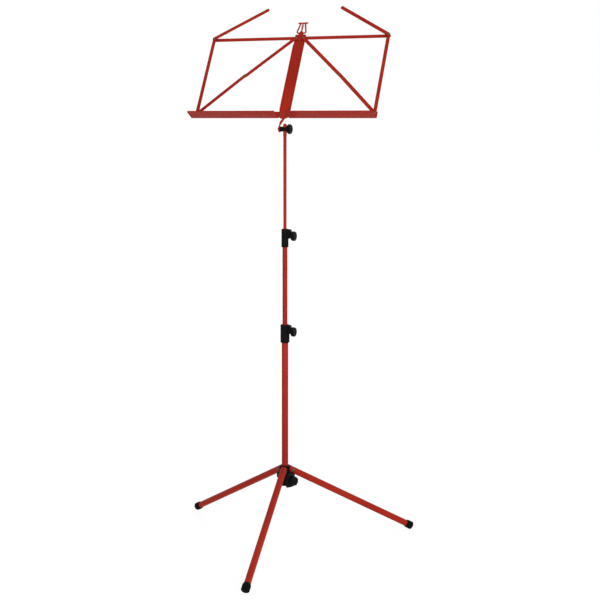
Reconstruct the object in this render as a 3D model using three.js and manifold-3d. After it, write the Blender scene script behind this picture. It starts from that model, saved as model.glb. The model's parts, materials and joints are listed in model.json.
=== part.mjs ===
// Folding music stand: a tripod on three folding legs, a mast of three telescoping tubes with two clamp
// collars, and a desk of flat strips on a tilting spine that folds up beside it.
// Millimetres and degrees. +Z is up, the desk faces -Y, and +X is to the right of someone reading at it.
import * as THREE from "three";
import { mergeVertices } from "three/addons/utils/BufferGeometryUtils.js";
import Module from "manifold-3d";

const wasm = await Module();
wasm.setup();

// ---------------------------------------------------------------- driving dimensions
const faceGap = 0.3; // between two faces that lie or turn against each other
const pinGap = 0.4; // radial, round a pin, a screw or a sliding bush

// Tripod
const legAngles = { right: 36.2, left: 156.2, front: -83.8 }; // about the mast, from +X
const legSlope = 28.9; // below the horizontal
const legLength = 382; // from its rivet to the end of its foot
const legRadius = 8.3;
const legWall = 1;
const legPivotRadius = 19.2; // from the mast's axis to a leg's rivet
const legSlotDepth = 10.5; // from the rivet to the end of the slot under the tube
const legCrownReach = 10.4; // from the rivet to the end of the tube's upper half, at the hub's rim
const footRadius = 10.6;
const footLength = 19.5;
const footEdge = 2; // bevel round its end
const footFlat = 0.8; // depth of the flat that the foot stands on
const footFloor = 4; // rubber past the end of the leg's tube
const legRivetRadius = 2;
const legRivetHeadRadius = 4.2;
const legRivetHeadHeight = 1.3;

// Base hub
const hubDrop = 40; // from the leg rivets down to the hub's underside
const hubRise = 13; // from the leg rivets up to the hub's rim
const hubWall = 1.6;
const hubRimHeight = 2.8;
const hubRimWidth = 2.85; // how far the rim stands out from the core
const hubFinThickness = 6;
const hubLobeTopRadius = 19;
const hubLobeRadius = 21.5;
const hubLobeTop = 4.8; // below the leg rivets
const hubLobeShoulder = 4; // height over which a lobe slopes in to its top
const hubLobeDrop = 18; // from the leg rivets down to the underside of the two plain lobes
const hubKnobLobeRadius = 26; // the lobe that carries the clamp screw reaches the hub's underside
const hubKnobLobeHalfWidth = 14.5;
const hubLobeEdge = 1.5;
const hubSlotClearance = 0.8; // each side of a folded leg
const baseKnobAngle = -23.5; // about the mast, half way between two legs
const baseKnobRise = 17.3; // above the hub's underside

// Mast
const lowerTubeRadius = 8.3;
const middleTubeRadius = 6.3;
const topRodRadius = 4.1;
const tubeWall = 1;
const lowerTubeLength = 396.8;
const middleTubeLength = 400;
const topRodLength = 385; // from its lower end to the tilt bolt
const middleTubeReach = 244; // how far the middle tube stands out of the lower one
const topRodReach = 272; // from the top of the middle tube to the tilt bolt
const footPlugHeight = 2;
const footPlugStem = 8;
const bushCollar = 6;
const bushStem = 18;

// Clamp collars
const clampGrip = 21.8; // down over the outer tube
const clampRise = 24.2; // up round the inner tube
const lowerClampWall = 3;
const upperClampWall = 2.4;
const clampBossHalfWidth = 6;
const clampBossReach = 16.6; // from the mast's axis, on both clamps
const clampBossRise = 17; // above its screw
const clampBossDrop = 8; // below its screw
const clampBossBevel = 3.5;
const clampScrewRise = 6.5; // above the end of the outer tube

// Knobs and their screws
const knobRadius = 12.2;
const knobLobes = 8;
const knobLobeDepth = 0.9;
const knobThickness = 10.2;
const knobNeckRadius = 6;
const knobNeckLength = 1.6;
const knobRecessRadius = 6.5;
const knobRecessDepth = 1.5;
const knobCap = 2.5; // plastic over the end of the screw, under the recess
const screwRadius = 2.5;

// Tilt joint
const boltRadius = 2.2;
const boltHeadRadius = 6;
const boltHeadHeight = 2.6;
const earRadius = 8;
const earThickness = 2.5;
const barrelRadius = 6.2;
const barrelLeft = 12.6; // from the rod's middle to the ear's end of the barrel
const barrelRight = 6.2;
const rodEyeThickness = 7.2;
const rodEyeHalfWidth = 4.2;
const rodEyeRise = 13.2; // from the bolt to the top of the rod
const rodEyeDrop = 16;
const tiltKnobThickness = 9.2;
const deskLean = 30; // from the vertical
const boltBelowDesk = 28.4; // from the trays' inner rivets, down the desk
const boltBehindDesk = 21.3; // from the back of the spine
const tongueHalfWidth = 2.6;
const tongueThickness = 2;
const tongueRivetDrop = 3.2; // below the trays' inner rivets
const tongueTop = 0.5; // the same
const tongueReach = 12; // the same, down to where it starts to twist

// Desk, drawn in its own plane: u across, v up the desk, n out towards the reader
const pivotFromCentre = 10; // the inner rivets, each side
const trayReach = 225; // inner rivet to outer rivet
const sideBarLength = 220; // also the height between the spine's rivets
const upperDiagonalLength = 160;
const diagonalBow = 2.3; // how far its middle rivet stands off the straight line
const barWidth = 9.1;
const barThickness = 1.6;
const pageArmLength = 157;
const pageArmRise = 31.7; // above the top bar
const spineHalfWidth = 14.6;
const spineThickness = 1.5;
const spineRise = 12; // above the upper rivets
const spineRimHeight = 2.5;
const spineRimWidth = 1.2;
const spineRimLow = 8; // above the lower rivets
const spineRimHigh = 15; // below the upper rivets
const curlStart = 6.5; // below the lower rivets
const curlRadius = 14;
const curlAngle = 30;
const trayThickness = 1.5;
const trayDrop = 10; // from its rivets down to its bend
const trayRise = 9;
const trayOverhang = { left: 17, right: 4.2 }; // past the outer rivet
const lipDepth = 34;
const lipInset = 14.4; // from the desk's middle to a lip's inner end
const trayEndRadius = 7; // round the inner rivet
const rivetRadius = 1.6;
const rivetHeadRadius = 3.2;
const rivetHeadHeight = 1.2;
const spacerWall = 1;

// Lyre at the top of the spine
const lyreHeight = 36; // above the spine
const lyreHalfWidth = 13.6;
const lyreBar = 4;
const lyreStroke = 3.5;
const lyreString = 1.8; // each of the two strings
const lyreStringSpread = 2.4; // of each from the middle, at the crossbar
const lyreBulbRise = 12;
const lyreBulbShoulder = 6; // height of its widest place
const lyreTabHalfWidth = 5.4;
const lyreTabDrop = 19; // overlap with the spine

// ---------------------------------------------------------------- derived places
const legSlopeRad = THREE.MathUtils.degToRad(legSlope);
const legPivotHeight =
  (legLength - footEdge) * Math.sin(legSlopeRad) + footRadius * Math.cos(legSlopeRad) - footFlat;
const hubBottom = legPivotHeight - hubDrop;
const hubTop = legPivotHeight + hubRise;
const hubCoreRadius = lowerTubeRadius + pinGap + hubWall;
const lowerTubeBottom = hubBottom + footPlugHeight + faceGap;
const lowerTubeTop = lowerTubeBottom + lowerTubeLength;
const middleTubeTop = lowerTubeTop + middleTubeReach;
const boltHeight = middleTubeTop + topRodReach;
const upperPivot = sideBarLength; // v of the upper rivets
const outerPivot = pivotFromCentre + trayReach; // u of the outer rivets

// The layers of the desk, from the back: tray flange, spine, then the five strips of each side.
const spineFront = spineThickness;
const layer = (index) => {
  const back = spineFront + faceGap + index * (barThickness + faceGap);
  return { back, front: back + barThickness };
};
const topBarLayer = layer(0);
const upperDiagonalLayer = layer(1);
const lowerDiagonalLayer = layer(2);
const sideBarLayer = layer(3);
const pageArmLayer = layer(4);
const flangeFront = -faceGap;
const flangeBack = flangeFront - trayThickness;

// The middle rivet of a diagonal, and the length of its lower half
const diagonalSpan = Math.hypot(trayReach, sideBarLength);
const diagonalAlong = Math.sqrt(upperDiagonalLength ** 2 - diagonalBow ** 2);
const diagonalDown = new THREE.Vector2(trayReach, -sideBarLength).divideScalar(diagonalSpan);
const diagonalOut = new THREE.Vector2(sideBarLength, trayReach).divideScalar(diagonalSpan);
const middlePivot = new THREE.Vector2(pivotFromCentre, upperPivot)
  .addScaledVector(diagonalDown, diagonalAlong)
  .addScaledVector(diagonalOut, diagonalBow);

// ---------------------------------------------------------------- materials
const paint = { color: 0xa8302a, roughness: 0.42, metalness: 0.1 };
const plastic = { color: 0x17181a, roughness: 0.5, metalness: 0 };
const rubber = { color: 0x101011, roughness: 0.85, metalness: 0 };
const zinc = { color: 0xb9b8b4, roughness: 0.35, metalness: 0.9 };
const nylon = { color: 0xd9d6cc, roughness: 0.6, metalness: 0 };

// ---------------------------------------------------------------- geometry helpers
function solidOf(geometry) {
  const bare = geometry.index ? geometry.toNonIndexed() : geometry.clone();
  bare.deleteAttribute("normal");
  bare.deleteAttribute("uv");
  const merged = mergeVertices(bare, 1e-4);
  return new wasm.Manifold(
    new wasm.Mesh({
      numProp: 3,
      vertProperties: new Float32Array(merged.attributes.position.array),
      triVerts: new Uint32Array(merged.index.array),
    }),
  );
}

function geometryOf(solid) {
  const mesh = solid.getMesh();
  const geometry = new THREE.BufferGeometry();
  geometry.setAttribute("position", new THREE.BufferAttribute(mesh.vertProperties, 3));
  geometry.setIndex(new THREE.BufferAttribute(mesh.triVerts, 1));
  geometry.computeVertexNormals();
  return geometry;
}

const add = (first, ...rest) =>
  geometryOf(rest.reduce((sum, g) => sum.add(solidOf(g)), solidOf(first)));
const cut = (first, ...rest) =>
  geometryOf(rest.reduce((left, g) => left.subtract(solidOf(g)), solidOf(first)));
const common = (a, b) => geometryOf(solidOf(a).intersect(solidOf(b)));

// A cylinder along Z from low to high.
function rod(radius, low, high, sides = 24) {
  return new THREE.CylinderGeometry(radius, radius, high - low, sides)
    .rotateX(Math.PI / 2)
    .translate(0, 0, (low + high) / 2);
}

// The same along X, at a height z.
const crossRod = (radius, low, high, z = 0, sides = 24) =>
  rod(radius, low, high, sides)
    .rotateY(Math.PI / 2)
    .translate(0, 0, z);

// A block between two corners.
function block(low, high) {
  const size = high.map((value, i) => value - low[i]);
  const middle = high.map((value, i) => (value + low[i]) / 2);
  return new THREE.BoxGeometry(...size).translate(...middle);
}

// A body of revolution about Z: its closed outline is a list of [radius, height].
function turned(outline, sides = 32) {
  const points = outline.map(([radius, height]) => new THREE.Vector2(radius, height));
  if (points[0].x > 0) points.push(points[0].clone());
  return new THREE.LatheGeometry(points, sides).rotateX(Math.PI / 2);
}

// A hollow tube from low to high.
const tube = (outer, inner, low, high, sides = 24) =>
  turned([[inner, low], [outer, low], [outer, high], [inner, high]], sides);

// A flat outline, a list of [x, y], with a thickness from back to front along Z.
function plate(outline, back, front, holes = []) {
  const shape = outline instanceof THREE.Shape ? outline : shapeOf(outline);
  for (const { x, y, radius } of holes) {
    const hole = new THREE.Path();
    hole.absarc(x, y, radius, 0, 2 * Math.PI, true);
    shape.holes.push(hole);
  }
  return new THREE.ExtrudeGeometry(shape, {
    depth: front - back,
    bevelEnabled: false,
    curveSegments: 8,
  }).translate(0, 0, back);
}

const shapeOf = (outline) => new THREE.Shape(outline.map(([x, y]) => new THREE.Vector2(x, y)));

// A closed skin over a row of sections, each the same number of points, with flat ends.
function loft(sections) {
  const count = sections[0].length;
  const points = sections.flat().map((p) => [p.x, p.y, p.z]).flat();
  const faces = [];
  for (let row = 0; row + 1 < sections.length; row += 1) {
    for (let i = 0; i < count; i += 1) {
      const a = row * count + i;
      const b = row * count + ((i + 1) % count);
      faces.push(a, b, b + count, a, b + count, a + count);
    }
  }
  const last = (sections.length - 1) * count;
  for (let i = 1; i + 1 < count; i += 1) {
    faces.push(0, i + 1, i, last, last + i, last + i + 1);
  }
  const geometry = new THREE.BufferGeometry();
  geometry.setAttribute("position", new THREE.Float32BufferAttribute(points, 3));
  geometry.setIndex(faces);
  return geometry;
}

// ---------------------------------------------------------------- scene graph
const stand = new THREE.Group();

function mesh(name, geometry, finish, parent = stand) {
  const piece = new THREE.Mesh(geometry, new THREE.MeshStandardMaterial(finish));
  piece.name = name;
  parent.add(piece);
  return piece;
}

// ---------------------------------------------------------------- knobs, screws and collars
// A lobed knob that turns about X. Its neck starts at x = 0; the screw comes in from there.
function knobGeometry(thickness, holeRadius) {
  const points = [];
  const steps = knobLobes * 6;
  for (let i = 0; i < steps; i += 1) {
    const angle = (i / steps) * 2 * Math.PI;
    const radius = knobRadius - knobLobeDepth * (1 - Math.cos(knobLobes * angle)) * 0.5;
    points.push([radius * Math.cos(angle), radius * Math.sin(angle)]);
  }
  const outer = knobNeckLength + thickness;
  const disc = plate(points, knobNeckLength, outer);
  const neck = rod(knobNeckRadius, 0, knobNeckLength + 1);
  const recess = rod(knobRecessRadius, outer - knobRecessDepth, outer + 1);
  const hole = rod(holeRadius, -1, outer - knobRecessDepth - knobCap, 16);
  return cut(add(disc, neck), recess, hole).rotateY(Math.PI / 2);
}

const screwReachInKnob = (thickness) =>
  knobNeckLength + thickness - knobRecessDepth - knobCap - faceGap;

// A collar on the end of an outer tube, with the boss and screw that press on the inner tube, and the knob.
function clamp(name, outerRadius, innerRadius, tubeEnd, wall) {
  const place = new THREE.Group();
  place.position.z = tubeEnd;
  stand.add(place);
  const outside = outerRadius + faceGap + wall;
  const bossEnd = clampBossReach;
  const body = turned([
    [outerRadius + faceGap, -clampGrip],
    [outside, -clampGrip],
    [outside, clampRise - 1],
    [outside - 1, clampRise],
    [innerRadius + pinGap, clampRise],
    [innerRadius + pinGap, faceGap],
    [outerRadius + faceGap, faceGap],
  ]);
  const bossTop = clampScrewRise + clampBossRise;
  const bossLow = clampScrewRise - clampBossDrop;
  const boss = plate(
    [
      [0, bossLow - clampBossBevel],
      [bossEnd, bossLow + clampBossBevel],
      [bossEnd, bossTop - clampBossBevel],
      [bossEnd - clampBossBevel, bossTop],
      [0, bossTop],
    ],
    -clampBossHalfWidth,
    clampBossHalfWidth,
  ).rotateX(Math.PI / 2);
  const bore = crossRod(screwRadius + pinGap, 0, bossEnd + 1, clampScrewRise, 16);
  const passages = [
    rod(innerRadius + pinGap, 0, clampRise + 1, 32),
    rod(outerRadius + faceGap, -clampGrip - 1, faceGap, 32),
  ];
  mesh(`${name}_collar`, cut(add(body, boss), bore, ...passages), plastic, place);
  const knobStart = bossEnd + faceGap;
  const screwStart = innerRadius + faceGap;
  const screwEnd = knobStart + screwReachInKnob(knobThickness);
  mesh(
    `${name}_screw`,
    crossRod(screwRadius, screwStart, screwEnd, clampScrewRise, 16),
    zinc,
    place,
  );
  const knob = mesh(
    `${name}_knob`,
    knobGeometry(knobThickness, screwRadius + faceGap),
    plastic,
    place,
  );
  knob.position.set(knobStart, 0, clampScrewRise);
}

// ---------------------------------------------------------------- tripod
function leg(side) {
  const place = new THREE.Group();
  place.rotation.z = THREE.MathUtils.degToRad(legAngles[side]);
  stand.add(place);
  const arm = new THREE.Group(); // along X from the rivet to the foot, its rivet along Y
  arm.position.set(legPivotRadius, 0, legPivotHeight);
  arm.rotation.y = legSlopeRad;
  place.add(arm);

  // Its upper half runs on to the hub's rim, which stops the spread leg; its lower half is rounded about
  // the rivet and slotted for the hub's fin.
  const tubeEnd = legLength - footFloor;
  const pipe = crossRod(legRadius, -legCrownReach, tubeEnd);
  const inside = crossRod(legRadius - legWall, -legCrownReach - 1, tubeEnd + 1);
  const slotHalf = hubFinThickness / 2 + pinGap;
  const slot = block([-legCrownReach, -slotHalf, -legRadius - 1], [legSlotDepth, slotHalf, 0]);
  const roundEnd = rod(legRadius, -legRadius - 1, legRadius + 1, 32).rotateX(Math.PI / 2);
  const crown = block([-legCrownReach - 1, -legRadius - 1, 0], [1, legRadius + 1, legRadius + 1]);
  const straight = block(
    [0, -legRadius - 1, -legRadius - 1],
    [tubeEnd + 1, legRadius + 1, legRadius + 1],
  );
  const rivetHole = rod(legRivetRadius + pinGap, -legRadius - 1, legRadius + 1, 16).rotateX(
    Math.PI / 2,
  );
  const tubeGeometry = common(cut(pipe, inside, slot, rivetHole), add(roundEnd, crown, straight));
  mesh(`${side}_leg_tube`, tubeGeometry, paint, arm);

  // Rubber foot: a sleeve over the tube's end with a rounded, closed bottom, cut flat where it stands.
  const sleeveStart = legLength - footLength;
  const foot = turned([
    [legRadius + faceGap, sleeveStart],
    [footRadius - 1, sleeveStart],
    [footRadius, sleeveStart + 3],
    [footRadius, legLength - footEdge],
    [footRadius - footEdge, legLength],
    [0, legLength],
    [0, tubeEnd + faceGap],
    [legRadius + faceGap, tubeEnd + faceGap],
  ]).rotateY(Math.PI / 2);
  const floorHeight = legPivotHeight / Math.cos(legSlopeRad);
  const underFloor = block([-legLength, -legLength, -legLength], [legLength * 2, legLength, 0])
    .rotateY(-legSlopeRad)
    .translate(0, 0, -floorHeight);
  mesh(`${side}_foot`, cut(foot, underFloor), rubber, arm);

  // The rivet through the tube and the hub's fin.
  const headStart = legRadius + faceGap;
  const headEnd = headStart + legRivetHeadHeight;
  const rivet = add(
    rod(legRivetRadius, -headEnd, headEnd, 16),
    rod(legRivetHeadRadius, headStart, headEnd, 16),
    rod(legRivetHeadRadius, -headEnd, -headStart, 16),
  ).rotateX(Math.PI / 2);
  mesh(`${side}_leg_rivet`, rivet, zinc, arm);
}

function baseHub() {
  const core = rod(hubCoreRadius, hubBottom, hubTop, 32);
  const rim = turned([
    [0, hubTop - hubRimHeight],
    [hubCoreRadius + hubRimWidth - 0.6, hubTop - hubRimHeight],
    [hubCoreRadius + hubRimWidth, hubTop - hubRimHeight + 0.6],
    [hubCoreRadius + hubRimWidth, hubTop],
    [0, hubTop],
  ]);
  const lobeTop = legPivotHeight - hubLobeTop;
  const skirt = (radius, bottom) =>
    turned([
      [0, bottom],
      [radius - hubLobeEdge, bottom],
      [radius, bottom + hubLobeEdge],
      [radius, lobeTop - hubLobeShoulder],
      [hubLobeTopRadius, lobeTop],
      [0, lobeTop],
    ]);
  const slotStart = legPivotRadius - legRadius - faceGap;
  const slotHalf = legRadius + hubSlotClearance;
  const slots = [];
  const fins = [];
  for (const angle of Object.values(legAngles)) {
    const turn = THREE.MathUtils.degToRad(angle);
    slots.push(
      block(
        [slotStart, -slotHalf, hubBottom - 1],
        [hubKnobLobeRadius + 1, slotHalf, hubTop + 1],
      ).rotateZ(turn),
    );
    fins.push(finGeometry().rotateZ(turn));
  }
  const knobTurn = THREE.MathUtils.degToRad(baseKnobAngle);
  const knobHeight = hubBottom + baseKnobRise;
  const bore = crossRod(screwRadius + pinGap, 0, hubKnobLobeRadius + 1, knobHeight, 16)
    .rotateZ(knobTurn);
  const passage = rod(lowerTubeRadius + pinGap, hubBottom - 1, hubTop + 1, 32);
  const knobSide = block(
    [0, -hubKnobLobeHalfWidth, hubBottom - 1],
    [hubKnobLobeRadius + 1, hubKnobLobeHalfWidth, hubTop],
  ).rotateZ(knobTurn);
  const knobLobe = common(skirt(hubKnobLobeRadius, hubBottom), knobSide);
  const lobes = cut(add(skirt(hubLobeRadius, legPivotHeight - hubLobeDrop), knobLobe), ...slots);
  mesh("base_hub", cut(add(core, rim, lobes, ...fins), bore, passage), plastic);

  const place = new THREE.Group();
  place.rotation.z = knobTurn;
  stand.add(place);
  const knobStart = hubKnobLobeRadius + faceGap;
  const screwEnd = knobStart + screwReachInKnob(knobThickness);
  mesh(
    "base_screw",
    crossRod(screwRadius, lowerTubeRadius + faceGap, screwEnd, knobHeight, 16),
    zinc,
    place,
  );
  const knob = mesh("base_knob", knobGeometry(knobThickness, screwRadius + faceGap), plastic, place);
  knob.position.set(knobStart, 0, knobHeight);
}

// The rib inside a leg's end, with the hole for its rivet.
function finGeometry() {
  const nose = Math.sqrt((legRadius - legWall) ** 2 - (hubFinThickness / 2) ** 2) - faceGap;
  const root = hubCoreRadius - 1;
  const shape = new THREE.Shape();
  shape.moveTo(root, legPivotHeight + nose);
  shape.lineTo(root, legPivotHeight - nose - 2);
  shape.absarc(legPivotRadius, legPivotHeight, nose, -Math.PI / 2, Math.PI / 2, false);
  const half = hubFinThickness / 2;
  return plate(shape, -half, half, [
    { x: legPivotRadius, y: legPivotHeight, radius: legRivetRadius + pinGap },
  ]).rotateX(Math.PI / 2);
}

// ---------------------------------------------------------------- mast
function mast() {
  const lowerInside = lowerTubeRadius - tubeWall;
  const middleInside = middleTubeRadius - tubeWall;
  const rodInside = topRodRadius - tubeWall;
  mesh("lower_tube", tube(lowerTubeRadius, lowerInside, lowerTubeBottom, lowerTubeTop), paint);
  const plug = turned([
    [0, hubBottom],
    [lowerTubeRadius, hubBottom],
    [lowerTubeRadius, hubBottom + footPlugHeight],
    [lowerInside - faceGap, hubBottom + footPlugHeight],
    [lowerInside - faceGap, hubBottom + footPlugHeight + footPlugStem],
    [0, hubBottom + footPlugHeight + footPlugStem],
  ], 24);
  mesh("lower_tube_plug", plug, plastic);

  const middleBottom = middleTubeTop - middleTubeLength;
  mesh("middle_tube", tube(middleTubeRadius, middleInside, middleBottom, middleTubeTop), paint);
  mesh("middle_tube_bush", bush(lowerInside, middleInside, middleBottom), nylon);

  const rodBottom = boltHeight - topRodLength;
  const neck = boltHeight - rodEyeDrop;
  const pipe = rod(topRodRadius, rodBottom, neck + 4);
  const inside = rod(rodInside, rodBottom - 1, neck - 6);
  mesh("top_rod", add(cut(pipe, inside), rodEye(neck)), paint);
  mesh("top_rod_bush", bush(middleInside, rodInside, rodBottom), nylon);
}

// A glide bush: its collar runs in the outer tube, and its stem turns in the end of the inner one.
function bush(outerBore, innerBore, end) {
  return turned([
    [0, end - faceGap - bushCollar],
    [outerBore - pinGap, end - faceGap - bushCollar],
    [outerBore - pinGap, end - faceGap],
    [innerBore - pinGap, end - faceGap],
    [innerBore - pinGap, end + bushStem],
    [0, end + bushStem],
  ], 24);
}

// The top of the rod, pressed flat, with the hole for the tilt bolt.
function rodEye(neck) {
  const shape = new THREE.Shape();
  const top = boltHeight + rodEyeRise - rodEyeHalfWidth;
  shape.moveTo(-topRodRadius + 0.5, neck - 2);
  shape.lineTo(topRodRadius - 0.5, neck - 2);
  shape.lineTo(rodEyeHalfWidth, neck + 4);
  shape.lineTo(rodEyeHalfWidth, top);
  shape.absarc(0, top, rodEyeHalfWidth, 0, Math.PI, false);
  shape.lineTo(-rodEyeHalfWidth, neck + 4);
  const half = rodEyeThickness / 2;
  return plate(shape, -half, half, [{ x: 0, y: boltHeight, radius: boltRadius + pinGap }])
    .rotateX(Math.PI / 2)
    .rotateZ(Math.PI / 2);
}

// ---------------------------------------------------------------- tilt joint
// Everything here lies along X, on the bolt: the bracket's ear, the barrel on the rod, the knob.
function tiltJoint(atBolt) {
  const barrel = cut(
    crossRod(barrelRadius, -barrelLeft, barrelRight),
    crossRod(boltRadius + pinGap, -barrelLeft - 1, barrelRight + 1, 0, 16),
    block(
      [-rodEyeThickness / 2 - faceGap, -rodEyeHalfWidth - faceGap, -barrelRadius - 1],
      [rodEyeThickness / 2 + faceGap, rodEyeHalfWidth + faceGap, barrelRadius + 1],
    ),
  );
  mesh("tilt_barrel", barrel, plastic).position.z = boltHeight;
  const earFront = -barrelLeft - faceGap;
  const earBack = earFront - earThickness;
  const knobStart = barrelRight + faceGap;

  const headStart = earBack - faceGap;
  const shank = crossRod(boltRadius, headStart - 1, knobStart + screwReachInKnob(tiltKnobThickness));
  const head = turned([
    [0, 0],
    [boltHeadRadius, 0],
    [boltHeadRadius * 0.9, boltHeadHeight * 0.55],
    [boltHeadRadius * 0.55, boltHeadHeight],
    [0, boltHeadHeight],
  ], 24)
    .rotateY(-Math.PI / 2)
    .translate(headStart, 0, 0);
  mesh("tilt_bolt", add(shank, head), zinc, atBolt);
  const knob = mesh("tilt_knob", knobGeometry(tiltKnobThickness, boltRadius + faceGap), plastic, atBolt);
  knob.position.x = knobStart;
  mesh("tilt_bracket", bracketGeometry(earBack, earFront), paint, atBolt);
}

// The red strap from the back of the spine to the bolt: a straight tongue that twists a quarter turn
// into a round ear. Drawn about the bolt, in the desk's u, v, n.
function bracketGeometry(earBack, earFront) {
  const tabFront = boltBehindDesk - faceGap;
  const tabBack = tabFront - tongueThickness;
  const tabTop = boltBelowDesk - tongueTop;
  const tabLow = boltBelowDesk - tongueReach;
  const rivetV = boltBelowDesk - tongueRivetDrop;
  const tab = plate(
    [
      [-tongueHalfWidth, tabLow],
      [tongueHalfWidth, tabLow],
      [tongueHalfWidth, tabTop],
      [-tongueHalfWidth, tabTop],
    ],
    tabBack,
    tabFront,
    [{ x: 0, y: rivetV, radius: 1.2 + faceGap }],
  );
  const earMiddle = (earBack + earFront) / 2;
  const reach = new THREE.Vector2(tabLow, (tabFront + tabBack) / 2);
  const rim = reach.clone().normalize().multiplyScalar(earRadius * 0.72);
  const start = new THREE.Vector3(0, reach.x, reach.y);
  const end = new THREE.Vector3(earMiddle, rim.x, rim.y);
  const path = new THREE.CubicBezierCurve3(
    start,
    start.clone().add(new THREE.Vector3(-5, -5, -0.5)),
    end.clone().add(new THREE.Vector3(0, rim.x * 0.9, rim.y * 0.9)),
    end,
  );
  const sections = [];
  const steps = 10;
  for (let i = 0; i <= steps; i += 1) {
    const t = i / steps;
    const centre = path.getPoint(t);
    const forward = path.getTangent(t);
    const turn = (Math.PI / 2) * THREE.MathUtils.smoothstep(t, 0, 1);
    const flat = new THREE.Vector3(1, 0, 0).projectOnPlane(forward).normalize();
    const wide = flat.applyAxisAngle(forward, turn);
    const thick = new THREE.Vector3().crossVectors(forward, wide);
    const halfWide = THREE.MathUtils.lerp(tongueHalfWidth, tongueHalfWidth * 1.5, t);
    const halfThick = THREE.MathUtils.lerp(tongueThickness, earThickness, t) / 2;
    const corner = (a, b) =>
      centre.clone().addScaledVector(wide, a * halfWide).addScaledVector(thick, b * halfThick);
    sections.push([corner(-1, -1), corner(1, -1), corner(1, 1), corner(-1, 1)]);
  }
  const ear = cut(
    crossRod(earRadius, earBack, earFront),
    crossRod(boltRadius + faceGap, earBack - 1, earFront + 1),
  );
  const strap = cut(loft(sections), crossRod(earRadius * 0.6, earBack - 5, earFront + 5));
  return add(tab, strap, ear);
}

// ---------------------------------------------------------------- desk
const rivetHoleRadius = rivetRadius + pinGap;

// A strip between two rivets, lying along X from the first.
function stripShape(length) {
  const half = barWidth / 2;
  const shape = new THREE.Shape();
  shape.absarc(0, 0, half, Math.PI / 2, (3 * Math.PI) / 2, false);
  shape.absarc(length, 0, half, -Math.PI / 2, Math.PI / 2, false);
  return shape;
}

function strip(name, from, to, place, holes, parent) {
  const span = to.clone().sub(from);
  const length = span.length();
  const spots = { start: { x: 0, y: 0 }, end: { x: length, y: 0 } };
  const cuts = holes.map((spot) => ({ ...spots[spot], radius: rivetHoleRadius }));
  const piece = mesh(name, plate(stripShape(length), place.back, place.front, cuts), paint, parent);
  piece.position.set(from.x, from.y, 0);
  piece.rotation.z = Math.atan2(span.y, span.x);
}

// A rivet along n: a shank from back to front, with a head past each end that is asked for.
function rivet(name, at, back, front, heads, parent) {
  const pieces = [rod(rivetRadius, back, front, 16)];
  if (heads.back) pieces.push(rod(rivetHeadRadius, back - rivetHeadHeight, back, 16));
  if (heads.front) pieces.push(rod(rivetHeadRadius, front, front + rivetHeadHeight, 16));
  const piece = mesh(name, pieces.length > 1 ? add(...pieces) : pieces[0], zinc, parent);
  piece.position.set(at.x, at.y, 0);
}

// A short tube round a rivet, where the rivet crosses layers that hold nothing there.
function rivetSpacer(name, at, back, front, parent) {
  const inner = rivetRadius + pinGap;
  const piece = mesh(name, tube(inner + spacerWall, inner, back, front, 16), zinc, parent);
  piece.position.set(at.x, at.y, 0);
}

function spine(parent) {
  const curl = THREE.MathUtils.degToRad(curlAngle);
  const top = upperPivot + spineRise;
  const profile = new THREE.Shape();
  profile.moveTo(0, top);
  profile.lineTo(0, -curlStart);
  const steps = 8;
  const arc = (radius, angle) => [
    curlRadius - radius * Math.cos(angle),
    -curlStart - radius * Math.sin(angle),
  ];
  for (let i = 1; i <= steps; i += 1) profile.lineTo(...arc(curlRadius, (curl * i) / steps));
  for (let i = steps; i >= 0; i -= 1) {
    profile.lineTo(...arc(curlRadius - spineThickness, (curl * i) / steps));
  }
  profile.lineTo(spineThickness, top);
  // The profile is drawn as n across and v up; turned, its extrusion runs along u.
  const web = new THREE.ExtrudeGeometry(profile, {
    depth: 2 * spineHalfWidth,
    bevelEnabled: false,
  })
    .rotateY(-Math.PI / 2)
    .translate(spineHalfWidth, 0, 0);
  const low = -curlStart - curlRadius * Math.sin(curl) - 1;
  const shoulder = low + spineHalfWidth + 1;
  const front = new THREE.Shape();
  front.moveTo(spineHalfWidth, top + 1);
  front.lineTo(-spineHalfWidth, top + 1);
  front.lineTo(-spineHalfWidth, shoulder);
  front.absellipse(0, shoulder, spineHalfWidth, shoulder - low, Math.PI, 2 * Math.PI, false, 0);
  const outline = plate(front, -1, curlRadius + 1, [
    { x: pivotFromCentre, y: 0, radius: rivetHoleRadius },
    { x: -pivotFromCentre, y: 0, radius: rivetHoleRadius },
    { x: pivotFromCentre, y: upperPivot, radius: rivetHoleRadius },
    { x: -pivotFromCentre, y: upperPivot, radius: rivetHoleRadius },
    { x: 0, y: -tongueRivetDrop, radius: 1.2 + faceGap },
  ]);
  const rims = [-1, 1].map((side) => {
    const outer = side * spineHalfWidth;
    const inner = side * (spineHalfWidth - spineRimWidth);
    return block(
      [Math.min(outer, inner), spineRimLow, 0],
      [Math.max(outer, inner), upperPivot - spineRimHigh, spineThickness + spineRimHeight],
    );
  });
  mesh("spine", add(common(web, outline), ...rims), paint, parent);

  const tongueRivetBack = -faceGap - tongueThickness - faceGap;
  const tongueRivetFront = spineThickness + faceGap;
  const piece = mesh(
    "tongue_rivet",
    add(
      rod(1.2, tongueRivetBack - 1, tongueRivetFront + 1, 16),
      rod(2.4, tongueRivetFront, tongueRivetFront + 1, 16),
      rod(2.4, tongueRivetBack - 1, tongueRivetBack, 16),
    ),
    zinc,
    parent,
  );
  piece.position.y = -tongueRivetDrop;
}

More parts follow.
